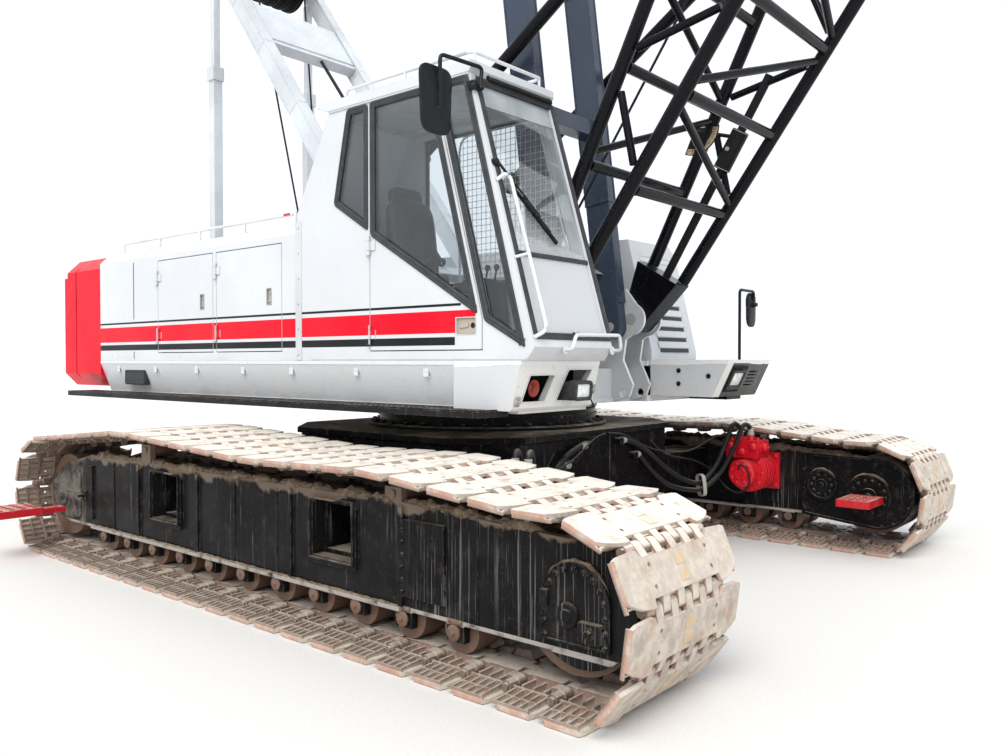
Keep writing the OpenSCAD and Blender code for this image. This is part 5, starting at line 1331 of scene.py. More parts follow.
catch_plate = prism(eased(oblong(-0.030, -0.022, 0.030, 0.022), 0.006), 0.0, 0.007, 0.002)
catch_tongue = prism(eased([(-0.012, -0.034), (0.012, -0.034), (0.009, 0.012), (-0.009, 0.012)], 0.005),
                     0.006, 0.020, 0.003)
catch_screws = bolts([(-0.020, 0, 0.007), (0.020, 0, 0.007)], skyward, 0.006, 0.005)
catch = joined([catch_plate, catch_tongue, catch_screws])
catches = [facing(catch, lean_right, deck_front(y, z)) for y, z in ((-1.470, 1.245), (-0.745, 1.300))]
piece("deck_catches", joined(catches), bare_steel, "upper", 35)
left_bolts = bolts([(1.30, 0.739, 1.40), (1.30, 0.739, 1.30), (1.55, 0.739, 1.36)], rightward, 0.014,
                   0.012)
frame_left = np.array(oblong(0.868, 1.236, 1.136, 1.436))
surround = trim(eased(frame_left, 0.012, 3), [(0, 0), (0, 0.004), (0.024, 0.004), (0.024, 0)], end_on)
piece("left_lamp_surround", joined([leant(surround, 1.579, 1.2, 0.135 / 0.283),
                                    brick((1.50, 0.885, 1.250), (1.506, 1.12, 1.42))]), dark_liner,
      "upper", 35)
piece("left_deck_bolts", left_bolts, dark_liner, "upper", 35)


# Cab. A box of welded sheet on rubber mounts, white with the same stripes; flat glass
# held by broad slate rubbers, a roof slab with rails, and the operator's seat inside.
dress(body_paint, "cab_shell", "cab_door")
seal_rubber = mottled("seal_rubber", (14, 5, 0.7), (0.3, 0.7), (0.016, 0.018, 0.021),
                      (0.036, 0.039, 0.044), ((40, 3), (0.3, 0.7, 0.45, 0.65)), ((200, 3), 0.25, 0.001))
seal_w = 0.042
seal_section = [(0, 1.4990), (0, 1.5060), (0.005, 1.5100), (0.014, 1.5105), (0.018, 1.5070),
                (0.024, 1.5070), (0.028, 1.5100), (0.036, 1.5085), (seal_w, 1.5040), (seal_w, 1.4860)]


def seal(outline, ease):
    """A window rubber round an outline on the cab's right side: a flat lip, a groove and a bead."""
    rim = eased(np.asarray(outline)[::-1] if turned_right(outline) else outline, ease, 5)
    return mirrored(trim(rim, seal_section, side_on))


def turned_right(outline):
    """Whether an outline runs clockwise: its signed area is negative."""
    x, z = np.asarray(outline, float).T
    return (x * np.roll(z, -1) - np.roll(x, -1) * z).sum() < 0


rear_glass = [(0.084, 3.124), (0.290, 3.124), (0.290, 2.307), (-0.054, 2.513)]
door_glass = [(0.312, 3.130), (0.858, 3.130), (1.235, 1.739), (0.313, 2.276)]
side_glass = [(0.897, 3.132), (1.157, 3.132), (1.587, 1.545), (1.285, 1.704)]
piece("cab_side_seals", joined([seal(rear_glass, 0.030), seal(side_glass, 0.022)]), seal_rubber,
      "upper", 40)
piece("cab_door_seal", seal(door_glass, 0.030), seal_rubber, "cab_door", 40)

clear_pane, tree, shader = new_finish("window_glass")
# The windscreen's lower part is paled by a film, partly dust and partly a painted reflection of the
# bright ground.
front = remap(tree, height_of(tree, "X", "Normal"), 0.80, 0.90)
pale_line = calc(tree, "ADD", height_of(tree), times(tree, noise(tree, 2.5, 4, 0.6, shift=6.0), 0.25))
dust_and_reflection = remap(tree, pale_line, 2.62, 2.20, 0.02, 0.30)
lowest = remap(tree, height_of(tree), 2.094, 2.088, 0.0, 0.32)
dust_and_reflection = times(tree, front, calc(tree, "ADD", dust_and_reflection, lowest))
glass_ior = 1.45
feed(tree, shader, {
    "Base Color": layer(tree, dust_and_reflection, (0.86, 0.89, 0.90), (0.62, 0.62, 0.64)),
    "Transmission Weight": calc(tree, "SUBTRACT", 1.0, dust_and_reflection), "IOR": glass_ior,
    "Roughness": remap(tree, noise(tree, 5, 6, 0.7, (1, 1, 0.6)), 0.45, 0.75, 0.0, 0.10)
})
dress(clear_pane, "cab_glass", "cab_door_glass")

screen_foot = np.array((1.650, 1.550))
screen_up = np.array((-0.480, 1.600)) / np.linalg.norm((-0.480, 1.600))
screen_out = np.array((screen_up[1], -screen_up[0]))


def on_screen(part):
    """A part drawn with its Y up the windscreen from its foot, X to the crane's left and Z out of
    the glass, set on the windscreen's plane."""
    points, faces = part
    xz = screen_foot + points[:, 1:2] * screen_up + points[:, 2:3] * screen_out
    return np.column_stack([xz[:, 0], points[:, 0], xz[:, 1]]), faces


screen_rim = eased([(-1.488, 0.045), (-0.716, 0.045), (-0.716, 1.640), (-1.470, 1.640)], 0.030, 5)
screen_seal = trim(screen_rim, [(0, -0.004), (0, 0.006), (0.006, 0.010), (0.018, 0.010), (0.022, 0.006),
                                (0.030, 0.009), (0.040, 0.003), (0.040, -0.016)])
seam_bar = prism(eased(oblong(-1.452, 0.546, -0.752, 0.572), 0.003, 2), -0.015, -0.003, 0.003)
piece("windscreen_seal", joined([on_screen(screen_seal), on_screen(seam_bar)]), seal_rubber, "upper",
      40)
inner_rim = eased(np.array([(0.040, 3.080), (0.040, 1.980), (1.446, 1.980), (1.096, 3.080)]), 0.03, 5)
flat_seal = [(0, 0.0), (0, 0.006), (0.006, 0.009), (0.034, 0.009), (0.040, 0.003), (0.040, -0.02)]
inner_seal = trim(inner_rim, flat_seal, side_on)
inner_seal = (inner_seal[0] + (0, -0.730, 0), inner_seal[1])
back_rim = eased(oblong(-1.40, 1.880, -0.83, 2.440), 0.03, 5)
back_seal = trim(back_rim, flat_seal, end_on)
back_seal = reversed_faces(back_seal[0] * (-1, 1, 1) + (-0.460, 0, 0), back_seal[1])
piece("cab_inner_seals", joined([inner_seal, back_seal]), seal_rubber, "upper", 40)

sun_strip = mottled("sun_strip", (6, 4), (0.3, 0.7), (0.30, 0.33, 0.35), (0.42, 0.45, 0.47), 0.3)
strip = prism([(-1.446, 1.470), (-0.756, 1.470), (-0.756, 1.600), (-1.432, 1.600)], -0.0150, -0.0135,
              0.0)
piece("windscreen_sun_strip", on_screen(strip), sun_strip, "upper", None)

matt_black = paint("matt_black", (0.012, 0.012, 0.013), 0.45, dust=0.3, chips=0.3, rust=0.2,
                   specular=0.15)
visor = eased([(1.168, -1.349, 3.172), (1.186, -1.348, 3.113), (1.186, -0.811, 3.118),
               (1.163, -0.700, 3.182)], 0.035, 6, closed=False)
hub = lathe([(0.001, 0), (0.024, 0), (0.024, 0.020), (0.016, 0.028), (0.001, 0.028)], 18)
blade_side = [(-0.009, -0.220), (0.009, -0.220), (0.006, 0.220), (-0.006, 0.220)]


def turned_flat(part, degrees, x, y):
    """A part turned about its own Z and moved across its own plane."""
    points, faces = part
    a = np.radians(degrees)
    turn_by = np.array([[np.cos(a), np.sin(a), 0], [-np.sin(a), np.cos(a), 0], [0, 0, 1]])
    return points @ turn_by + (x, y, 0), faces


arm = prism(eased([(-0.010, 0.0), (0.010, 0.0), (0.005, 0.420), (-0.005, 0.420)], 0.003, 2), 0.020,
            0.028, 0.002)
blade = joined([prism(eased(blade_side, 0.003, 2), 0.004, 0.018, 0.004),
                prism(oblong(-0.003, -0.225, 0.003, 0.225), -0.006, 0.005, 0.0)])
bridge = joined([prism(eased([(-0.008, y0), (0.008, y0), (0.005, y1), (-0.005, y1)], 0.003, 2), 0.017,
                       0.024, 0.002) for y0, y1 in ((-0.140, -0.010), (0.010, 0.140))])
wiper = joined([
    on_screen(turned_flat(arm, -136.4, -1.475, 1.096)),
    on_screen(turned_flat(joined([blade, bridge]), 43.7, -1.2125, 0.8055)),
    on_screen((hub[0] + (-1.475, 1.096, 0.0), hub[1])),
    rod(visor, 0.010, 10)
])
piece("wiper_and_visor", wiper, matt_black, "upper", 40)

rail_right = eased([(-0.020, -1.420, 3.206), (-0.020, -1.420, 3.290), (1.120, -1.420, 3.290),
                    (1.120, -0.760, 3.290), (0.0, -0.760, 3.290), (0.0, -0.760, 3.206)], 0.040, 6,
                   closed=False)
roof_rail = [rod(rail_right, 0.011, 12)]
for x, y in ((0.55, -1.420), (1.119, -1.400), (1.119, -0.780), (0.55, -0.760)):
    roof_rail.append(rod([(x, y, 3.215), (x, y, 3.288)], 0.009, 10))
grab = eased([(-1.492, 0.985, 0.0), (-1.462, 1.010, 0.050), (-1.430, 0.985, 0.055),
              (-1.428, 0.110, 0.055), (-1.440, 0.075, 0.045), (-1.492, 0.055, 0.0)], 0.022, 5,
             closed=False)
roof_rail.append(on_screen(rod(grab, 0.011, 12)))
roof_rail.append(on_screen(rod([(-1.429, 0.530, 0.052), (-1.492, 0.522, 0.0)], 0.009, 10)))
piece("cab_rails", joined(roof_rail), rail_paint, "upper", 40)
rail_feet = ((-0.020, -1.420), (0.55, -1.420), (1.09, -1.420), (0.0, -0.760), (0.55, -0.760))
roof_feet = spread(shoe_plate, [(x, y, 3.2212) for x, y in rail_feet])
piece("cab_rail_feet", roof_feet, rail_paint, "upper", 35)
gutter = joined([prism([(-0.095, 3.128), (1.168, 3.128), (1.170, 3.141), (-0.088, 3.141)], 1.498, 1.509,
                       0.002, side_on), prism(eased([(-0.300, 1.480), (1.585, 1.480), (1.600, 1.496),
                                                     (-0.300, 1.496)], 0.002, 2), 1.4985, 1.5025, 0.001,
                                              side_on)])
piece("cab_gutter", mirrored(gutter), body_paint, "upper", 35)

lock_face = prism(eased(oblong(1.064, 1.632, 1.215, 1.723), 0.012), 1.4878, 1.4900, 0.0005, side_on)
lever_side = eased([(1.082, 1.664), (1.150, 1.668), (1.156, 1.686), (1.150, 1.698), (1.082, 1.694)],
                   0.006)
lever = prism(lever_side, 1.4895, 1.4965, 0.002, side_on)
lock_rim = trim(eased(oblong(1.058, 1.626, 1.221, 1.729), 0.014),
                [(0, 1.4995), (0, 1.5025), (0.004, 1.5025), (0.006, 1.4995)], side_on)
piece("cab_lock", mirrored(joined([lock_face, lever])), beige_steel, "cab_door", 35)
piece("cab_lock_rim", mirrored(lock_rim), body_paint, "cab_door", 35)
keyhole = lathe([(0.001, 0), (0.016, 0), (0.016, 0.004), (0.010, 0.006), (0.009, 0.003),
                 (0.001, 0.003)], 18)
piece("cab_keyhole", mirrored(facing(keyhole, leftward, (1.187, 1.4895, 1.680))), matt_black,
      "cab_door", 35)
screen_bolts = bolts([(-1.105, 0.085, 0.0), (-1.060, 0.085, 0.0)], skyward, 0.008, 0.007)
bracket_block = joined([prism(eased([(1.176, 3.028), (1.232, 3.028), (1.222, 3.082), (1.160, 3.082)],
                                    0.006), 1.492, 1.522, 0.004, side_on),
                        bolts([(1.185, 1.522, 3.055), (1.212, 1.522, 3.052)], leftward, 0.007, 0.006)])
# A dark strip under the roof's front edge, partly a visor board and partly painted shade under the
# roof's overhang.
under_roof = prism(oblong(-1.360, 1.628, -0.752, 1.655), 0.0, 0.030, 0.006)
piece("cab_small_brackets_and_roof_shade", joined([mirrored(bracket_block), on_screen(screen_bolts),
                                    on_screen(under_roof)]), matt_black, "upper", 35)

# Inside the cab. A vinyl seat on a sprung stand between two lever consoles, two red
# pedals on the floor plate, and a white wire guard over the pane beside the boom.
seat_vinyl = mottled("seat_vinyl", (6, 5, 0.7), (0.3, 0.7), (0.022, 0.020, 0.019),
                     (0.050, 0.046, 0.043), ((9, 4), (0.3, 0.7, 0.40, 0.58)),
                     ((45, 4, 0.6), 0.15, 0.001))


def root(value, power):
    """The value raised to a power with its sign kept."""
    return np.sign(value) * np.abs(value) ** power


def cushion(size, channels, fullness=0.12, n=40, m=72):
    """A filled pad about its middle: an ellipsoid whose sines are raised to a small power, so that it
    is nearly a box with crowned faces; sewn channels across it and a seam round its waist are pressed
    in by narrow bell curves."""
    lat = np.linspace(-np.pi / 2 + 0.02, np.pi / 2 - 0.02, n)[:, None]
    lon = np.linspace(0, 2 * np.pi, m, endpoint=False)[None, :]
    ring = root(np.cos(lat), 0.35)
    x = ring * root(np.cos(lon), 0.42)
    y = ring * root(np.sin(lon), 0.42)
    z = root(np.sin(lat), 0.55) * (1 - fullness * (x ** 2 + y ** 2) / 2)
    waist = 1 - 0.03 * np.exp(-(z / 0.10) ** 2)
    for at in channels:
        z = z * (1 - 0.16 * np.exp(-((x - at) / 0.035) ** 2))
    points = np.stack([x * waist * size[0] / 2, y * waist * size[1] / 2, z * size[2] / 2],
                      -1).reshape(-1, 3)
    caps = np.stack([np.arange(m)[::-1], np.arange(m) + (n - 1) * m])
    return points, [sheet_faces(n, m, close_columns=True)[:, ::-1], caps]


def leaned(part, along_x, along_y, origin):
    """A part whose X and Y are turned to the two given directions and which is set at origin."""
    basis = np.stack([unit(along_x), unit(along_y), np.cross(unit(along_x), unit(along_y))])
    return part[0] @ basis + origin, part[1]


back_up = unit((-0.090, 0, 0.710))
seat_pad = leaned(cushion((0.468, 0.450, 0.128), (-0.45, 0.0, 0.45)), forward, leftward,
                  (0.545, -1.140, 1.857))
back_pad = leaned(cushion((0.640, 0.410, 0.112), (-0.40, 0.05, 0.50)), back_up, rightward,
                  (0.330, -1.140, 2.235))
head_pad = leaned(cushion((0.170, 0.280, 0.085), ()), back_up, rightward, (0.262, -1.140, 2.550))
for name, part in (("seat_cushion", seat_pad), ("seat_back", back_pad), ("seat_headrest", head_pad)):
    pad = piece(name, part, seat_vinyl, "upper", 60)
inside_paint = paint("inside_paint", (0.035, 0.036, 0.038), 0.48, dust=0.35, chips=0.4, rust=0.1)
inside = [
    brick((0.380, -1.280, 1.506), (0.680, -1.000, 1.540), 0.010),
    brick((0.400, -1.260, 1.755), (0.700, -1.020, 1.795), 0.010)
]
bellows = lathe([(0.001, 0)] + [(0.110 + 0.014 * (k % 2), 0.012 + k * 0.0145) for k in range(15)]
                + [(0.001, 0.220)], 24)
inside.append((bellows[0] + (0.540, -1.140, 1.538), bellows[1]))
console = eased([(0.420, 1.506), (0.840, 1.506), (0.900, 1.700), (0.880, 2.000), (0.620, 2.045),
                 (0.440, 1.960)], 0.030, 4)
for y in (-1.440, -0.890):
    inside.append(prism(console, y + 0.001, y + 0.080, 0.008, side_on))
    for x in (0.800, 0.720):
        inside.append(rod([(x, y + 0.040, 1.985), (x + 0.020, y + 0.040, 2.080)], 0.007, 8))
        knob = lathe([(0.001, 0), (0.012, 0), (0.018, 0.012), (0.019, 0.026), (0.012, 0.038),
                      (0.001, 0.041)], 14)
        inside.append((knob[0] + (x + 0.021, y + 0.040, 2.074), knob[1]))
floor_side = [(1.180, 1.506), (1.480, 1.506), (1.480, 1.512), (1.190, 1.520), (1.180, 1.514)]
inside.append(prism(floor_side, -1.330, -0.950, 0.0, side_on))
piece("cab_consoles", joined(inside), inside_paint, "upper", 40)
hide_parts("cab_interior")
pedal_side = eased([(1.330, 1.560), (1.348, 1.548), (1.440, 1.690), (1.424, 1.700)], 0.004, 3)
pedals = joined([prism(pedal_side, y, y + 0.090, 0.004, side_on) for y in (-1.280, -1.120)]
                + [rod([(1.370, y + 0.045, 1.610), (1.330, y + 0.045, 1.515)], 0.009, 8)
                   for y in (-1.280, -1.120)])
piece("cab_pedals", pedals, red_paint, "upper", 40)

guard_frame = eased(np.array([(0.420, 2.020), (1.395, 2.020), (1.110, 3.030), (0.420, 3.030)]),
                    (0.02, 0.02, 0.10, 0.12), 6)
guard_rim = trim(guard_frame, [(0, -0.788), (0, -0.780), (0.012, -0.780), (0.012, -0.788)], side_on)
wires_up = []
for x in np.arange(0.460, 1.380, 0.042):
    top = min(3.020, 2.030 + (1.390 - x) * 1.010 / 0.285)
    wires_up.append(rod([(x, -0.783, 2.028), (x, -0.783, top)], 0.0022, 5))
for z in np.arange(2.060, 3.020, 0.042):
    end = 1.392 - (z - 2.020) * 0.285 / 1.010
    wires_up.append(rod([(0.428, -0.786, z), (end, -0.786, z)], 0.0022, 5))
piece("window_guard", joined([guard_rim] + wires_up), rail_paint, "upper", None)


# Mirrors. Round bent tubes carry a moulded dark grey shell with the glass in its face,
# on a ball joint low at its back.
mirror_shell = paint("mirror_shell", (0.010, 0.011, 0.013), 0.34, dust=0.2, chips=0.3, rust=0.1,
                     specular=0.2)


def mirror_head(x, y0, y1, z0, z1, deep):
    """A mirror's shell: a rounded outline whose back bulges to deep as 1 less the fourth power of the
    share from the middle, with a flat rim round the glass, which looks backward."""
    wide, tall = (y1 - y0) / 2, (z1 - z0) / 2
    corner = eased(np.array([(-0.86 * wide, -tall), (0.86 * wide, -tall), (wide, tall), (-wide, tall)]),
                   0.07, 8)
    share = np.concatenate([np.linspace(0.02, 1, 9), [1.0, 0.93]])
    rise = np.concatenate([deep * (1 - np.linspace(0.02, 1, 9) ** 4), [-0.014, -0.016]])
    rows = [np.column_stack([np.full(len(corner), x + h), corner * s + ((y0 + y1) / 2, (z0 + z1) / 2)])
            for s, h in zip(share, rise)]
    n, m = len(corner), len(rows)
    caps = np.stack([np.arange(n), (np.arange(n) + (m - 1) * n)[::-1]])
    shell = (np.vstack(rows), [sheet_faces(m, n, close_columns=True), caps])
    pane_rim = corner * 0.92
    pane = prism(pane_rim, 0.0, 0.003, 0.0, end_on)
    pane = (pane[0] + (x - 0.020, (y0 + y1) / 2, (z0 + z1) / 2), pane[1])
    return shell, pane


right_shell, right_pane = mirror_head(1.186, -1.915, -1.661, 2.725, 3.095, 0.018)
left_shell, left_pane = mirror_head(1.482, 1.565, 1.735, 1.755, 2.040, 0.012)
post = rod([(1.2435, -1.478, 3.030), (1.231, -1.478, 3.060)], 0.017, 12)
main_tube = eased([(1.231, -1.478, 3.040), (1.214, -1.440, 3.168), (1.210, -1.784, 3.156),
                   (1.210, -1.784, 2.850)], 0.036, 6, closed=False)
left_tube = eased([(1.500, 1.380, 1.4832), (1.500, 1.380, 2.050), (1.500, 1.650, 2.050),
                   (1.497, 1.650, 1.960)], 0.036, 6, closed=False)
stub = on_screen(rod([(-1.478, 1.553, 0.005), (-1.478, 1.553, 0.042)], 0.016, 12))
joint = lathe([(0.001, 0), (0.020, 0.002), (0.026, 0.014), (0.020, 0.030), (0.016, 0.034),
               (0.016, 0.046), (0.001, 0.046)], 18)
ball, ball_faces = facing(joint, forward, (1.190, -1.786, 2.850))
ball = (np.minimum(ball, (1.2055, np.inf, np.inf)), ball_faces)
mirror_parts = [rod(main_tube, 0.012, 12), rod(left_tube, 0.012, 12), stub, post, right_shell,
                left_shell, ball, facing(joint, forward, (1.484, 1.650, 1.940)),
                rod([(1.190, -1.786, 2.850), (1.2095, -1.784, 2.862)], 0.013, 10)]
piece("mirror_shells", joined(mirror_parts), mirror_shell, "upper", 50)
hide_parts("mirrors")
silvered = mottled("mirror_glass", (12, 5), (0.35, 0.7), (0.80, 0.80, 0.79), (0.66, 0.58, 0.40),
                   ((20, 4), (0.4, 0.7, 0.04, 0.20)), more={"Metallic": 1.0})
piece("mirror_panes", joined([right_pane, left_pane]), silvered, "upper", None)

# Gantry. White box legs lean back to an apex over the counterweight and are held down
# by slender rear legs; the cross plate and ties join them, and ropes run to the sheaves.
gantry_foot = np.array((-0.070, 0, 1.475))
gantry_apex = np.array((-3.020, 0, 5.410))
leg_up = unit(gantry_apex - gantry_foot)
leg_out = np.array((leg_up[2], 0, -leg_up[0]))
gantry_len = np.linalg.norm(gantry_apex - gantry_foot)
gantry_head = gantry_foot + leg_up * (gantry_len - 0.090)


def laid(part, foot, along, out):
    """A part drawn with X up a member from its foot, Y to the left and Z along out."""
    points, faces = part
    points = foot + points[:, :1] * along + points[:, 1:2] * (0, 1, 0) + points[:, 2:3] * out
    if np.cross(along, leftward) @ out < 0:
        return reversed_faces(points, faces)
    return points, faces


gantry_paint = paint("gantry_paint", (0.60, 0.63, 0.66), 0.26, dust=0.15, streaks=0.1, chips=0.35,
                     rust=0.15)
dress(gantry_paint, "gantry_front", "gantry_rear")
dress(matt_black, "gantry_sheaves")
leg_parts = []
for y0, y1 in ((0.496, 0.508), (0.592, 0.604)):
    for z in (-0.074, 0.074):
        leg_parts.append(brick((0.02, y0, z - 0.006), (gantry_len - 0.20, y1, z + 0.006)))
for s in (0.45, 1.60, 2.75, 3.55, 4.20):
    leg_parts.append(prism(oblong(s, -0.082, s + 0.014, 0.082), 0.503, 0.597, 0.0, side_on))
tie_s = 0.742 * gantry_len
for s in (tie_s + 0.02, tie_s + 0.47):
    leg_parts.append(brick((s, -0.500, -0.041), (s + 0.012, 0.500, -0.020)))
cross = laid(both(joined(leg_parts)), gantry_foot, leg_up, leg_out)
pin_head = lathe([(0.001, 0), (0.052, 0), (0.052, 0.010), (0.044, 0.016), (0.001, 0.016)], 24)
pin_heads = both(facing(pin_head, leftward, gantry_head + (0, 0.620, 0)))
sleeve = both(joined([
    brick((-3.078, 0.492, 4.180), (-2.962, 0.608, 4.310), 0.004),
    brick((-3.074, 0.496, 1.60), (-2.966, 0.604, 1.66), 0.004)
]))
piece("gantry_flanges", joined([cross, pin_heads, sleeve]), gantry_paint, "upper", 35)
link_top = gantry_foot + leg_up * 3.35 + leg_out * 0.02
link_foot = gantry_foot + leg_up * 2.05 + leg_out * 0.05
draw = unit(link_top - link_foot)
ram = lathe([(0.001, 0), (0.036, 0), (0.040, 0.006), (0.040, 0.520), (0.036, 0.530), (0.020, 0.532),
             (0.020, 0.560), (0.001, 0.560)], 24)
piece("gantry_ram", facing(ram, draw, link_foot + (0, 0.10, 0)), gantry_paint, "upper",
      40)
thin = [rod([link_foot + (0, 0.10, 0) + draw * 0.55, link_top + (0, 0.10, 0) + draw * 0.55], 0.016, 10),
        rod([link_foot + (0, 0.10, 0) - draw * 1.05, link_foot + (0, 0.10, 0)], 0.018, 10)]
eye = turned_ring([(0.020, 0), (0.036, 0), (0.038, 0.004), (0.038, 0.026), (0.036, 0.030),
                   (0.020, 0.030)], 20)
thin.append(facing(eye, leftward, link_foot + (0, 0.085, 0) - draw * 1.06))
thin.append(facing(eye, leftward, link_top + (0, 0.085, 0) + draw * 0.56))
piece("gantry_ram_rods", joined(thin), matt_black, "upper", 40)

# Luffing ropes. Thin wire rope goes back and forth between the sheaves on the gantry's
# apex and those on the mast's head, and down from the apex to its winch. A rope that
# joins two bodies has rings at its ends alone, so that it stays straight as they part.
mast_angle, mast_len = 97.1, 7.180
mast_dir = np.array((np.cos(np.radians(mast_angle)), 0, np.sin(np.radians(mast_angle))))
mast_head = mast_foot + mast_dir * mast_len
rope_dark = paint("rope_dark", (0.012, 0.012, 0.012), 0.50, dust=0.10, chips=0.0, rust=0.2,
                  specular=0.2)


def strand(a, b, radius=0.009, sides=6, count=2):
    """A taut rope from a to b, with count rings along it."""
    t = np.linspace(0, 1, count)[:, None]
    return rod(np.asarray(a) * (1 - t) + np.asarray(b) * t, radius, sides)


reeving = []
sheave_r = 0.226
across_line = unit(mast_head - gantry_head)
side_line = np.array((-across_line[2], 0, across_line[0]))
for y_g, y_m in ((-0.30, -0.24), (-0.18, -0.12), (-0.06, 0.0), (0.06, 0.12), (0.18, 0.24)):
    for sign in (-1, 1):
        rise = side_line * sheave_r * sign
        reeving.append(strand(gantry_head + rise + (0, y_g, 0), mast_head + rise + (0, y_m, 0)))
ropes = piece("luffing_ropes", joined(reeving), rope_dark, None, 50)
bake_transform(ropes)
down_ropes = joined([
    strand(gantry_head + (0.21, y, -0.05), (-2.080 + 0.15 * s, y * 0.5, 1.720), 0.009, 6, 4)
    for y, s in ((-0.30, 1), (0.30, -1))
])
piece("luffing_rope_falls", down_ropes, rope_dark, "upper", 50)

# Live mast. Two welded box legs, dark navy, with cross ties; it leans back over the
# cab and carries the luffing sheaves and the pendants' ends at its head.
navy_paint = paint("navy_paint", (0.040, 0.054, 0.084), 0.24, dust=0.1, chips=0.35, rust=0.1,
                   specular=0.35)
dress(navy_paint, "mast_legs")
dress(matt_black, "mast_sheaves")
mast_front = np.array((mast_dir[2], 0, -mast_dir[0]))


mast_parts = []
for z in (-0.105, 0.105):
    for y in (0.346, 0.436):
        mast_parts.append(brick((0.95, y - 0.006, z - 0.005), (7.15, y + 0.006, z + 0.005)))
for s in (0.95, 2.60, 4.95, 6.55):
    mast_parts.append(prism(oblong(s, -0.112, s + 0.016, 0.112), 0.338, 0.444, 0.0, side_on))
head_rings = []
for y in (-0.24, -0.12, 0.0, 0.12, 0.24):
    for lift in (-0.018, 0.010):
        rim = turned_ring(oblong(0.225, 0, 0.248, 0.008), 40)
        head_rings.append(facing(rim, leftward, mast_head + (0, y + lift, 0)))
mast_welds = laid(joined(mast_parts), mast_foot, mast_dir, mast_front)
piece("mast_welds", both(mast_welds), navy_paint, "mast", 30)
piece("mast_sheave_rims", joined(head_rings), matt_black, "mast", 30)
apex_y = (-0.30, -0.18, -0.06, 0.06, 0.18, 0.30)
apex_rings = [facing(rim, leftward, gantry_head + (0, y + lift, 0))
              for y in apex_y for lift in (-0.018, 0.010)]
piece("gantry_sheave_rims", joined(apex_rings), matt_black, "upper", 30)


# Boom. A lattice of four chord tubes with cross members and lacing welded between them,
# gloss black, on two foot lugs; the sections are pinned together at their chords.
boom_paint = paint("boom_paint", (0.004, 0.004, 0.006), 0.20, dust=0.02, chips=0.25, rust=0.08,
                   specular=0.14)
dress(boom_paint, "boom_base", "boom_tip", "boom_stops", "boom_sheaves")
boom_angle = 59.15
boom_dir = np.array((np.cos(np.radians(boom_angle)), 0, np.sin(np.radians(boom_angle))))
boom_top = np.array((-boom_dir[2], 0, boom_dir[0]))
section_l = 6.100
head_s = 12.200
taper_s = 9.800


def half_depth(s):
    """Half the distance between top and bottom chords: it grows evenly from the foot to the first
    joint, stays, and falls evenly over the tapered head."""
    return np.interp(s, [0, section_l, taper_s, head_s], [0.115, 0.610, 0.610, 0.260])


def half_width(s):
    """Half the distance between the side chords: even, then falling over the tapered head."""
    return np.interp(s, [0, taper_s, head_s], [0.645, 0.645, 0.400])


joints = []
for top in (-1, 1):
    s, y, z = section_l, 0.645, top * 0.610
    ear = eased([(s - 0.16, z - 0.052), (s + 0.16, z - 0.052), (s + 0.13, z + 0.062),
                 (s - 0.13, z + 0.062)], 0.03, 4)
    for side in (-0.056, 0.030):
        joints.append(prism(ear, y + side, y + side + 0.026, 0.004, side_on))
    head = lathe([(0.001, 0), (0.030, 0), (0.030, 0.006), (0.026, 0.010), (0.001, 0.010)], 18)
    joints.append(facing(head, leftward, (s - 0.07, y + 0.056, z)))
    joints.append(facing(head, leftward, (s + 0.07, y + 0.056, z)))
joint_ears = laid(joined(joints), boom_foot, boom_dir, boom_top)
piece("boom_joint_ears", both(joint_ears), boom_paint, "boom", 35)


def weld_rings(s_values, radius):
    """A low bead round the end of each cross member, where it meets the chords."""
    parts = []
    for s in s_values:
        for top in (-1, 1):
            y = half_width(s) - 0.044
            ring = turned_ring([(radius, -0.004), (radius + 0.009, 0.0), (radius + 0.006, 0.007),
                                (radius, 0.012)], 16)
            parts.append(facing(ring, rightward, (s, y, top * half_depth(s))))
    return joined(parts)


lacing_bay = 0.610
lower = np.linspace(0.980, section_l - 0.120, int(round((section_l - 1.100) / lacing_bay)) + 1)
upper_run = np.linspace(section_l + 0.200, taper_s - 0.100,
                        int(round((taper_s - section_l - 0.300) / lacing_bay)) + 1)
beads = laid(weld_rings(np.concatenate([lower, upper_run]), 0.035), boom_foot, boom_dir, boom_top)
piece("boom_weld_beads", both(beads), boom_paint, "boom", 60)

foot_trim = []
for y, way in ((0.6745, 1), (0.4795, -1)):
    boss = turned_ring([(0.0452, 0), (0.080, 0), (0.084, 0.003), (0.084, 0.008), (0.080, 0.011),
                        (0.0452, 0.011)], 36)
    foot_trim.append(facing(boss, (0, way, 0), boom_foot + (0, y, 0)))
piece("boom_foot_bosses", both(joined(foot_trim)), boom_paint, "boom", 35)

rims = []
head_axle = boom_foot + boom_dir * (head_s + 0.020) + boom_top * -0.300
for y in np.linspace(-0.225, 0.225, 6):
    for lift in (-0.020, 0.012):
        rim = turned_ring(oblong(0.286, 0, 0.312, 0.008), 48)
        rims.append(facing(rim, leftward, head_axle + (0, y + lift, 0)))
piece("boom_sheave_rims", joined(rims), boom_paint, "boom", 30)

# Boom angle dial. The sender is a black drum clamped on a thin tube beside the far chords;
# left of it a steel sector with a tan scale and a hanging needle faces the operator.
dial_x, dial_y, dial_z = 1.490, 0.620, 3.190


def band(r0, r1, a0, a1, low, high, n=28):
    """A flat sector between two radii and two angles, on the plane that faces the cab."""
    rim = np.vstack([arc(dial_x, dial_z, r1, a0, a1, n), arc(dial_x, dial_z, r0, a1, a0, n)])
    return prism(rim, low, high, 0.0, side_on)


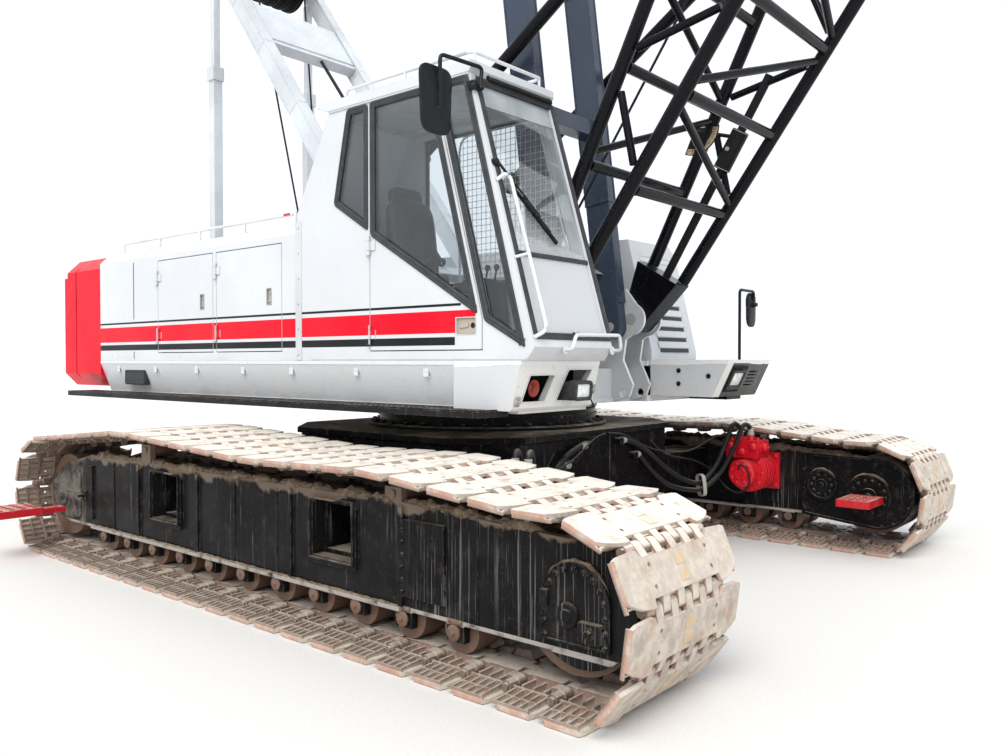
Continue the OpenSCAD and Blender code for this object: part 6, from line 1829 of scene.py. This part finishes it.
scale_tan = mottled("scale_tan", (30, 5, 0.7), (0.35, 0.65), (0.42, 0.30, 0.16), (0.62, 0.49, 0.32),
                    0.6)
scale = band(0.150, 0.190, -110, -5, dial_y - 0.006, dial_y - 0.001)
piece("angle_scale", scale, scale_tan, "boom", 30)
marks = [band(0.154 if k % 3 else 0.150, 0.172 if k % 3 else 0.186, a, a + 1.0, dial_y - 0.0075,
              dial_y - 0.0055, 3) for k, a in enumerate(np.linspace(-107, -9, 25))]
tube_mid = boom_foot + (0, 0.645, 0)
tube = rod([tube_mid + boom_dir * 0.10, tube_mid + boom_dir * 1.96], 0.031, 16)
drum = lathe([(0.001, 0), (0.056, 0), (0.062, 0.006), (0.062, 0.294), (0.056, 0.300), (0.001, 0.300)],
             32)
needle = rod([(dial_x, dial_y - 0.012, dial_z), (dial_x + 0.005, dial_y - 0.012, dial_z - 0.165)],
             (0.006, 0.002), 6)
arm = rod([(dial_x, dial_y + 0.004, dial_z - 0.02), tube_mid + boom_dir * 1.50], 0.014, 8)
dial_parts = [band(0.002, 0.196, -114, -1, dial_y - 0.001, dial_y + 0.005), needle, arm, tube,
              facing(drum, boom_dir, tube_mid + boom_dir * 1.25)] + marks
piece("angle_dial", joined(dial_parts), matt_black, "boom", 40)
hoops = []
for k in (1.256, 1.538):
    hoop = turned_ring(oblong(0.061, 0, 0.0645, 0.006), 32)
    hoops.append(facing(hoop, boom_dir, tube_mid + boom_dir * k))
boss = lathe(oblong(0.001, 0, 0.016, 0.010), 16)
hoops.append(facing(boss, rightward, tube_mid + boom_dir * 1.40 + (0, -0.060, 0)))
piece("angle_dial_hoops", joined(hoops), bare_steel, "boom", 30)

# Pendants and hoist rope. Two pendant bars hold the boom from the mast's head; the hoist rope
# runs straight from the front drum over the boom's foot and between its chords to its head.
dress(matt_black, "boom_pendants")
hoist_start = np.array((0.170, 0.225, 1.830))
hoist_top = head_axle + boom_top * 0.296 + (0, 0.225, 0)
hoist = piece("hoist_rope", strand(hoist_start, hoist_top, 0.010, 7, 2), rope_dark, None,
              60)
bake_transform(hoist)

# Hook block. Two red cheek plates bolted over a sheave, with a forged hook on its
# swivel below, hanging on two parts of rope from the boom's head.
hang = head_axle + (0.290, 0, 0)
hook_paint = paint("hook_paint", (0.50, 0.014, 0.020), 0.30, dust=0.1, chips=0.6, rust=0.3)
cheek = eased([(-0.205, -0.800), (-0.150, -1.120), (0.150, -1.120), (0.205, -0.800), (0.140, -0.755),
               (-0.140, -0.755)], 0.05, 6)
block_parts = [prism(cheek, y, y + 0.028, 0.008, side_on) for y in (0.060, -0.088)]
block_parts.append(prism(eased(oblong(-0.120, -1.140, 0.120, -1.020), 0.02), -0.062, 0.062, 0.0,
                         side_on))
block_bolts = bolts([(x, 0.088, z) for x, z in ((-0.140, -1.07), (0.140, -1.07), (-0.165, -0.82),
                                                (0.165, -0.82))], leftward, 0.016, 0.014)
block_parts.append(both(block_bolts))
pin_cap = lathe([(0.001, 0), (0.045, 0), (0.050, 0.005), (0.050, 0.012), (0.001, 0.012)], 24)
block_parts.append(both(facing(pin_cap, leftward, (0, 0.076, -0.930))))
block = joined(block_parts)
block = piece("hook_block_cheeks", (block[0] + hang, block[1]), hook_paint, "hook", 40)
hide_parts("hook_block")
groove = lathe([(0.001, 0), (0.150, 0), (0.150, 0.008), (0.128, 0.018), (0.128, 0.034), (0.150, 0.044),
                (0.150, 0.052), (0.001, 0.052)], 40)
wheels = [facing(groove, leftward, hang + (0, y - 0.026, -0.930)) for y in (-0.028, 0.028)]
a = np.radians(np.linspace(90, -175, 30))
bowl = np.column_stack([0.062 * np.cos(a), np.zeros(30), -1.262 + 0.058 * np.sin(a)])
line = np.vstack([[(0, 0, -1.130), (0, 0, -1.160), (0.002, 0, -1.185)], bowl[2:],
                  [(-0.066, 0, -1.238)]])
girth = ([0, 0.10, 0.45, 0.75, 1], [0.028, 0.024, 0.034, 0.026, 0.010])
thick = np.interp(np.linspace(0, 1, len(line)), *girth)
hook = rod(line, np.minimum(thick, 0.034), 14)
nut = lathe([(0.001, 0), (0.044, 0), (0.048, 0.006), (0.048, 0.026), (0.040, 0.034), (0.001, 0.034)],
            24)
falls = [rod([(0.0113, y, -0.930), (0.0113, y, -0.40), (0.0113, y, 0.0)], 0.011, 8)
         for y in (-0.045, 0.045)]
forged = joined([(hook[0] + hang, hook[1]), (nut[0] + hang + (0, 0, -1.172), nut[1])] + wheels)
piece("hook_and_sheave", forged, bare_steel, "hook", 40)
piece("hook_rope_falls", joined([(p + hang, f) for p, f in falls]), rope_dark, "hook", 50)

low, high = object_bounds()
